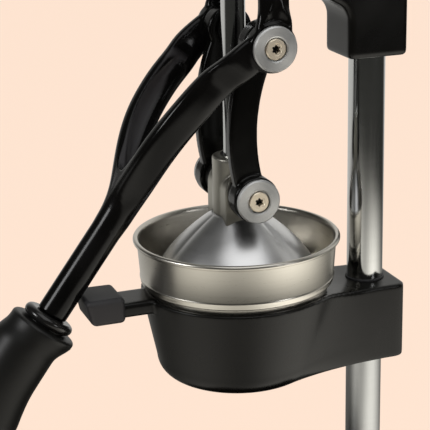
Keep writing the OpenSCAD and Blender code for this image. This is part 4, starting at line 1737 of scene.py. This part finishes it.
@dataclass
class Grip(Part):
    """Rubber ring, washer and shaped grip on the end of the lever's bar."""

    lever: Lever
    bore_r: float = 7.4
    ring_r: float = 3.6
    seat: float = 0.05
    gap: float = 0.7
    flange_h: float = 5.0
    neck_h: float = 16.0
    swell_h: float = 64.0
    end_h: float = 113.0
    flange_r: float = 23.0
    neck_r: float = 22.0
    swell_r: float = 22.4
    end_r: float = 15.0
    lean: float = 4.6
    lean_rise: Point = (4.0, 18.0)
    lean_fall: Point = (40.0, 70.0)

    def build(self) -> None:
        """Builds the ring and the grip."""
        r, bore = self.ring_r, self.bore_r
        outer, start = self.lever.bar_r + r, self.lever.bar_l + self.seat
        ring = Shape.lathe([(bore, 0.1), (outer - 1, 0.02),
                            *arc((outer, r), r, -88, 88, 16), (bore, 2 * r - 0.1)], 96, True)
        self.shop.piece("bar_ring", self.lever.on_bar(ring, start), self.palette.gloss,
                        Body.LEVER, Slot.RUBBER, "grip_ring", crease=60)
        self.shop.dress(self.palette.gloss, "grip_washer")
        body = [(self.radius(h), h) for h in spread(self.flange_h, self.end_h, 40)]
        grip = Shape.lathe([(bore, 0), (17, 0), (19.5, 0.3),
                            *arc((self.flange_r - 2.6, 2.9), 2.6, -75, 0, 6), *body,
                            *arc((0, self.end_h), self.end_r, 4, 90, 12)], 128)
        for vert in grip.bm.verts:
            vert.co.y += self.offset(vert.co.z)
        self.shop.piece("hand_grip", self.lever.on_bar(grip, start + 2 * r + self.gap),
                        self.palette.handle, Body.LEVER, Slot.PLASTIC, "grip", crease=60)

    def offset(self, h: float) -> float:
        """How far the grip stands off the bar's axis, towards its upper side.

        Args:
            h: Height over its flange.

        Returns:
            The distance: soft at the neck, most on the swell, and 0 at the end.
        """
        rise, fall = between(h, *self.lean_rise), between(h, *self.lean_fall)
        return self.lean * rise * rise * (3 - 2 * rise) * math.cos(QUARTER_TURN * fall)

    def radius(self, h: float) -> float:
        """Radius of the grip: neck, swell and taper.

        Args:
            h: Height over its flange.

        Returns:
            The radius.
        """
        if h < self.neck_h:
            left = 1 - (h - self.flange_h) / (self.neck_h - self.flange_h)
            return self.neck_r + (self.flange_r - self.neck_r) * left ** 2
        swell = (self.swell_r - self.neck_r) * eased(h, self.neck_h, self.swell_h)
        taper = (self.swell_r - self.end_r) * eased(h, self.swell_h, self.end_h)
        return self.neck_r + swell - taper


@dataclass
class Press(Part):
    """Guide rod, cast hub with its lugs, and the grooved bell."""

    rod_r: float = 8.0
    rod_edge: float = 0.8
    hub_r: float = 15.5
    hub_above: float = 21.7
    hub_edge: float = 1.2
    recess_r: float = 10.05
    recess_h: float = 2.65
    lug_r: float = 13.7
    lug_half: float = 18.0
    lug_sunk: float = 9.0
    lug_edge: float = 0.8
    slab_edge: float = 0.9
    skin: float = 0.8
    passes: int = 5
    bell_drop: float = 60.0
    bell_h: float = 42.5
    bell_d: float = 112.0
    bell_hole: float = 4.2
    bell_fit: float = 0.15
    bell_gap: float = 0.5
    bell_in: float = 0.4
    bell_down: float = 0.6
    sheet: float = 1.6
    slope: float = 1.52
    grooves: int = 3
    first_groove: float = -87.0
    groove_depth: float = 0.7
    groove_half: float = 6.0
    groove_in: float = 0.65
    groove_down: float = 0.7

    def build(self) -> None:
        """Builds the rod, the hub and the bell."""
        axis = self.layout.axis
        low, high = node_box("guide_rod")
        rod = Shape.lathe(bar(self.rod_r, high.z - low.z, self.rod_edge), 96)
        self.shop.piece("guide_bar", rod.moved(0, axis, low.z),
                        self.palette.bar("guide_rod", axis), Body.PRESS, Slot.POLISHED,
                        "guide_rod")
        self.shop.dress(self.palette.handle, "rod_cap", "lug_spacers")
        self.shop.dress(self.palette.bar("collar", axis), "rod_wiper")
        self.shop.dress(self.palette.gloss, "hub_screw")
        self.shop.dress(self.palette.screw, "bell_washer", "bell_screw")
        self.shop.piece("hub_casting", self.hub(), self.palette.cast, Body.PRESS,
                        Slot.ALUMINIUM, "press_hub", crease=45)
        self.shop.piece("press_bell_shell", self.bell(), self.palette.bell(axis),
                        Body.PRESS, Slot.STAINLESS, "press_bell", crease=50)

    def hub(self) -> Shape:
        """Draws the tube with its two lugs, which run down to the bell.

        Returns:
            The hub.
        """
        lug, r, edge = self.layout.lug.z, self.hub_r, self.hub_edge
        foot, top = lug - self.bell_drop + self.bell_h, lug + self.hub_above
        tube = Shape.lathe([(0, foot - 1), (r, foot - 1), (r, top - edge),
                            *arc((r - edge, top - edge), edge, 0, 90, 4), (0, top)], 96)
        slab = Shape.block((2 * self.lug_half, 2 * self.lug_r, lug - foot + self.lug_sunk),
                           self.slab_edge)
        slab.moved(0, 0, (lug + foot - self.lug_sunk) / 2)
        eye = x_bar(self.lug_r, -self.lug_half, self.lug_half, self.lug_edge, 0, lug)
        recess = Shape.lathe(bar(self.recess_r, self.hub_above), 72)
        recess.moved(0, 0, top - self.recess_h)
        cast = tube.add(slab, eye).fused(self.skin, self.passes)
        return cast.cut(recess, self.cone(self.bell_fit)).moved(0, self.layout.axis, 0)

    def profile(self, grow: float = 0.0) -> Profile:
        """Draws the outside of the bell from its top to its edge.

        Args:
            grow: How far it is drawn outside the bell itself.

        Returns:
            The (radius, height) points.
        """
        edge, top_r = self.layout.lug.z - self.bell_drop, self.hub_r + self.bell_gap
        flare, points = self.bell_d / 2 - top_r, []
        for t in spread(0, 1, 36):
            radius = top_r + flare * (self.slope * t - (self.slope - 1) * t * t)
            points.append((radius + grow, edge + self.bell_h * (1 - t) + grow))
        return points

    def cone(self, grow: float) -> Shape:
        """The bell as a solid, grown a little."""
        outside = self.profile(grow)
        return Shape.lathe([(0, outside[0][1]), *outside, (0, outside[-1][1])], 96)

    def bell(self) -> Shape:
        """Draws the sheet bell, with three grooves pressed into it.

        Returns:
            The bell.
        """
        outside, t, hole = self.profile(), self.sheet, self.bell_hole
        inside = [(r - t - self.bell_in, h - self.bell_down)
                  for r, h in reversed(outside[1:])]
        top, (edge_r, edge_h) = outside[0][1], outside[-1]
        lip = [(edge_r - 0.5, edge_h - 0.02), (edge_r - t, edge_h)]
        inside[0] = (edge_r - t - 0.3, edge_h + 0.3)
        under = top - t - 2 * self.bell_down
        bell = Shape.lathe([(hole, top), *outside, *lip, *inside, (self.hub_r - 1, under),
                            (hole, under)], 240, True)
        for vert in bell.bm.verts:
            self.press_in(vert)
        bmesh.ops.recalc_face_normals(bell.bm, faces=bell.bm.faces)
        return bell.moved(0, self.layout.axis, 0)

    def press_in(self, vert: bmesh.types.BMVert) -> None:
        """Sinks a point of the bell as far as the nearest groove takes it.

        Args:
            vert: The point.
        """
        r = math.hypot(vert.co.x, vert.co.y)
        t = (r - self.hub_r) / (self.bell_d / 2 - self.hub_r)
        if t <= 0:
            return
        turn = math.degrees(math.atan2(vert.co.y, vert.co.x)) - self.first_groove
        gap = 360 / self.grooves
        off = (turn + gap / 2) % gap - gap / 2
        groove = math.exp(-abs(off / self.groove_half) ** 1.5)
        sink = self.groove_depth * groove * math.sin(math.pi * min(1.0, t)) ** 0.5
        shrink = 1 - sink * self.groove_in / r
        vert.co.x *= shrink
        vert.co.y *= shrink
        vert.co.z -= sink * self.groove_down


@dataclass
class Link(Part):
    """Bowed link between the knee and the hub, on one side of the press."""

    body: Body
    length: float = 101.0
    width: float = 19.0
    thick: float = 9.0
    bow: float = 10.5
    edge: float = 1.6
    inner: float = 25.8
    outer: float = 39.3
    boss_r: float = 15.5
    boss_edge: float = 1.0
    skin: float = 0.9
    passes: int = 5

    def outline(self) -> Profile:
        """Draws the side view, with the upper pivot straight above the lower one.

        Returns:
            Its (y, z) points, from the lower pivot.
        """
        radius = (self.length ** 2 / 4 + self.bow ** 2) / (2 * self.bow)
        reach = math.degrees(math.asin(self.length / 2 / radius))
        centre = (radius - self.bow, self.length / 2)
        half = self.width / 2
        return [*arc(centre, radius + half, 180 + reach, 180 - reach, 28),
                *arc(centre, radius - half, 180 - reach, 180 + reach, 28)]

    def build(self) -> None:
        """Builds the link."""
        name = self.body.value
        plate = Shape.side_view(self.outline(), 0, self.thick).bevelled(self.edge, 3, 50)
        plate.moved(self.inner)
        for z in (0, self.length):
            plate.add(x_bar(self.boss_r, self.inner, self.outer, self.boss_edge, 0, z))
        knee, lug = self.layout.knee, self.layout.lug
        lean = math.degrees(math.asin((knee.y - lug.y) / self.length))
        plate.fused(self.skin, self.passes).tilted(-lean).moved(0, lug.y, lug.z)
        if self.body is Body.LINK_LEFT:
            plate = plate.mirrored()
        self.shop.piece(f"{name}_casting", plate, self.palette.lacquer, self.body,
                        Slot.CASTING, name, crease=60)
        self.shop.dress(self.palette.lacquer, f"knee_sleeve_{name.split('_')[1]}")


# ---- The studio ----
@dataclass(frozen=True)
class Lamp:
    """A square soft lamp, with its place and size in metres."""

    name: str
    place: Place
    size: float
    power: float

    def build(self, aim: Vector) -> None:
        """Hangs the lamp.

        Args:
            aim: The point that it looks at, in metres.
        """
        light = bpy.data.lights.new(self.name, "AREA")
        light.shape = "SQUARE"
        light.size = self.size
        light.energy = self.power
        lamp = placed(self.name, light)
        lamp.location = self.place
        lamp.rotation_euler = (aim - lamp.location).to_track_quat("-Z", "Y").to_euler()


@dataclass
class Studio:
    """Pale floor, soft lamps, and the camera. The camera's place is in millimetres."""

    axis: float
    # Colours that the camera and the reflections see
    backdrop: Colour = (1.0, 0.784, 0.642)
    table: Colour = (1.9, 1.83, 1.66)
    room: Colour = (0.04, 0.04, 0.036)
    wall: Colour = (0.72, 0.71, 0.68)
    fill: Colour = (0.40, 0.39, 0.37)
    # Floor and the lit table on it
    floor_half: float = 6.0
    floor_rough: float = 0.9
    glow: float = 1.02
    glow_share: float = 0.95
    table_r: float = 0.61
    table_fade: float = 0.38
    dim: float = 0.06
    lobes: tuple[Point, ...] = ((-62.0, 0.50), (42.0, 0.90))
    wall_start: float = -0.25
    wall_fade: float = -0.625
    # Room round the press
    sky_turn: float = 24.0
    sky_start: float = 0.25
    sky_fade: float = 1 / 1.9
    # Lamps
    lamps: tuple[Lamp, ...] = (Lamp("top_softbox", (0.50, 0.10, 1.35), 1.25, 5.8),
                               Lamp("left_softbox", (0.15, -1.5, 0.95), 0.5, 8.0),
                               Lamp("strip_light", (1.35, 0.95, 0.55), 0.35, 2.0))
    aim_h: float = 0.26
    # Camera
    target: Place = (0.0, 29.78, 254.4)
    azimuth: float = 70.02
    elevation: float = 17.43
    roll: float = -1.118
    distance: float = 1003.8
    lens: float = 125.66
    sensor: float = 36.0

    def build(self) -> None:
        """Sets the stage round the press."""
        self.floor()
        self.world()
        for lamp in self.lamps:
            lamp.build(Vector((0, self.axis * MM, self.aim_h)))
        self.camera()

    def floor(self) -> None:
        """Lays a wide pale floor that keeps the shadow of the press.

        Polished parts see it bright near the press and dim further out, as a lit table
        in a darker room. It is brighter in two directions, given in degrees with a gain.
        """
        plane = Shape()
        bmesh.ops.create_grid(plane.bm, x_segments=1, y_segments=1, size=self.floor_half)
        floor = placed("floor", plane.mesh("floor"))
        shader = Shader("pale_floor")
        surface = shader.surface.inputs
        shader.feed(surface["Base Color"], (*self.backdrop, 1))
        shader.feed(surface["Roughness"], self.floor_rough)
        camera, glossy = self.rays(shader)
        across, along, _ = shader.place(Vector((0, self.axis, 0)))
        reach = (across * across + along * along).root()
        level = self.dim
        for degrees, gain in self.lobes:
            turn = math.radians(degrees)
            facing = (across * math.cos(turn) + along * math.sin(turn)) / reach
            level = facing.clamped() ** 3 * gain + level
        near = reach.ramp(self.table_r + self.table_fade, -self.table_fade)
        far = shader.mix(across.ramp(self.wall_start, self.wall_fade), self.room, self.wall)
        lit = shader.mix(near * level, far, self.table)
        shown = shader.mix(camera, lit, self.backdrop)
        glow = shader.node("ShaderNodeEmission", {}, shown, self.glow)
        share = (camera * self.glow_share + glossy).clamped()
        mixed = shader.node("ShaderNodeMixShader", {}, share,
                            Value(shader, shader.surface.outputs[0]), glow)
        shader.feed(shader.tree.nodes["Material Output"].inputs["Surface"], mixed)
        floor.data.materials.append(shader.material)

    @staticmethod
    def rays(shader: Shader) -> tuple[Value, Value]:
        """Whether a ray comes from the camera, and whether from a reflection."""
        outs = shader.node("ShaderNodeLightPath", {}).socket.node.outputs
        return Value(shader, outs["Is Camera Ray"]), Value(shader, outs["Is Glossy Ray"])

    def world(self) -> None:
        """Gives an even pale light, with a pale wall behind the press in reflections."""
        shader = Shader("studio", world=True)
        bpy.context.scene.world = shader.material
        camera, glossy = self.rays(shader)
        look = shader.node("ShaderNodeTexCoord", {}, out=0)
        turn = math.radians(self.azimuth - self.sky_turn)
        away = (-math.sin(turn), math.cos(turn), 0.0)
        facing = shader.node("ShaderNodeVectorMath", {"operation": "DOT_PRODUCT"},
                             look, away, out=1)
        behind = facing.ramp(self.sky_start, self.sky_fade)
        light = shader.mix(glossy, self.fill, shader.mix(behind, self.room, self.wall))
        shader.feed(shader.surface.inputs["Color"], shader.mix(camera, light, self.backdrop))

    def camera(self) -> None:
        """Sets the camera at its own angle to the press."""
        data = bpy.data.cameras.new("camera")
        data.lens = self.lens
        data.sensor_width = self.sensor
        camera = placed("camera", data)
        turn, lift = math.radians(self.azimuth), math.radians(self.elevation)
        back = Vector((math.sin(turn) * math.cos(lift), -math.cos(turn) * math.cos(lift),
                       math.sin(lift)))
        camera.location = (Vector(self.target) + back * self.distance) * MM
        aim = (-back).to_track_quat("-Z", "Y").to_matrix().to_4x4()
        roll = Matrix.Rotation(math.radians(self.roll), 4, "Z")
        camera.rotation_euler = (aim @ roll).to_euler()
        bpy.context.scene.camera = camera


def main() -> None:
    """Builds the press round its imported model."""
    logging.basicConfig(level=logging.INFO, format="%(message)s")
    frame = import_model()
    bpy.context.scene.view_settings.view_transform = "Standard"
    layout = Layout.read(frame)
    shared = Workshop(frame), Palette(), layout
    for part in (Column, Base, Holder, Bowl, Head):
        part(*shared).build()
    lever = Lever(*shared)
    lever.build()
    Grip(*shared, lever).build()
    Press(*shared).build()
    for body in (Body.LINK_RIGHT, Body.LINK_LEFT):
        Link(*shared, body).build()
    for name, body, centre, inner in (("pivot", Body.FRAME, layout.pivot, 50.3),
                                      ("knee", Body.LEVER, layout.knee, 50.0),
                                      ("lug", Body.PRESS, layout.lug, 39.6)):
        Pivot(*shared, name, body, centre, inner).build()
    Studio(layout.axis).build()


if __name__ == "__main__":
    main()
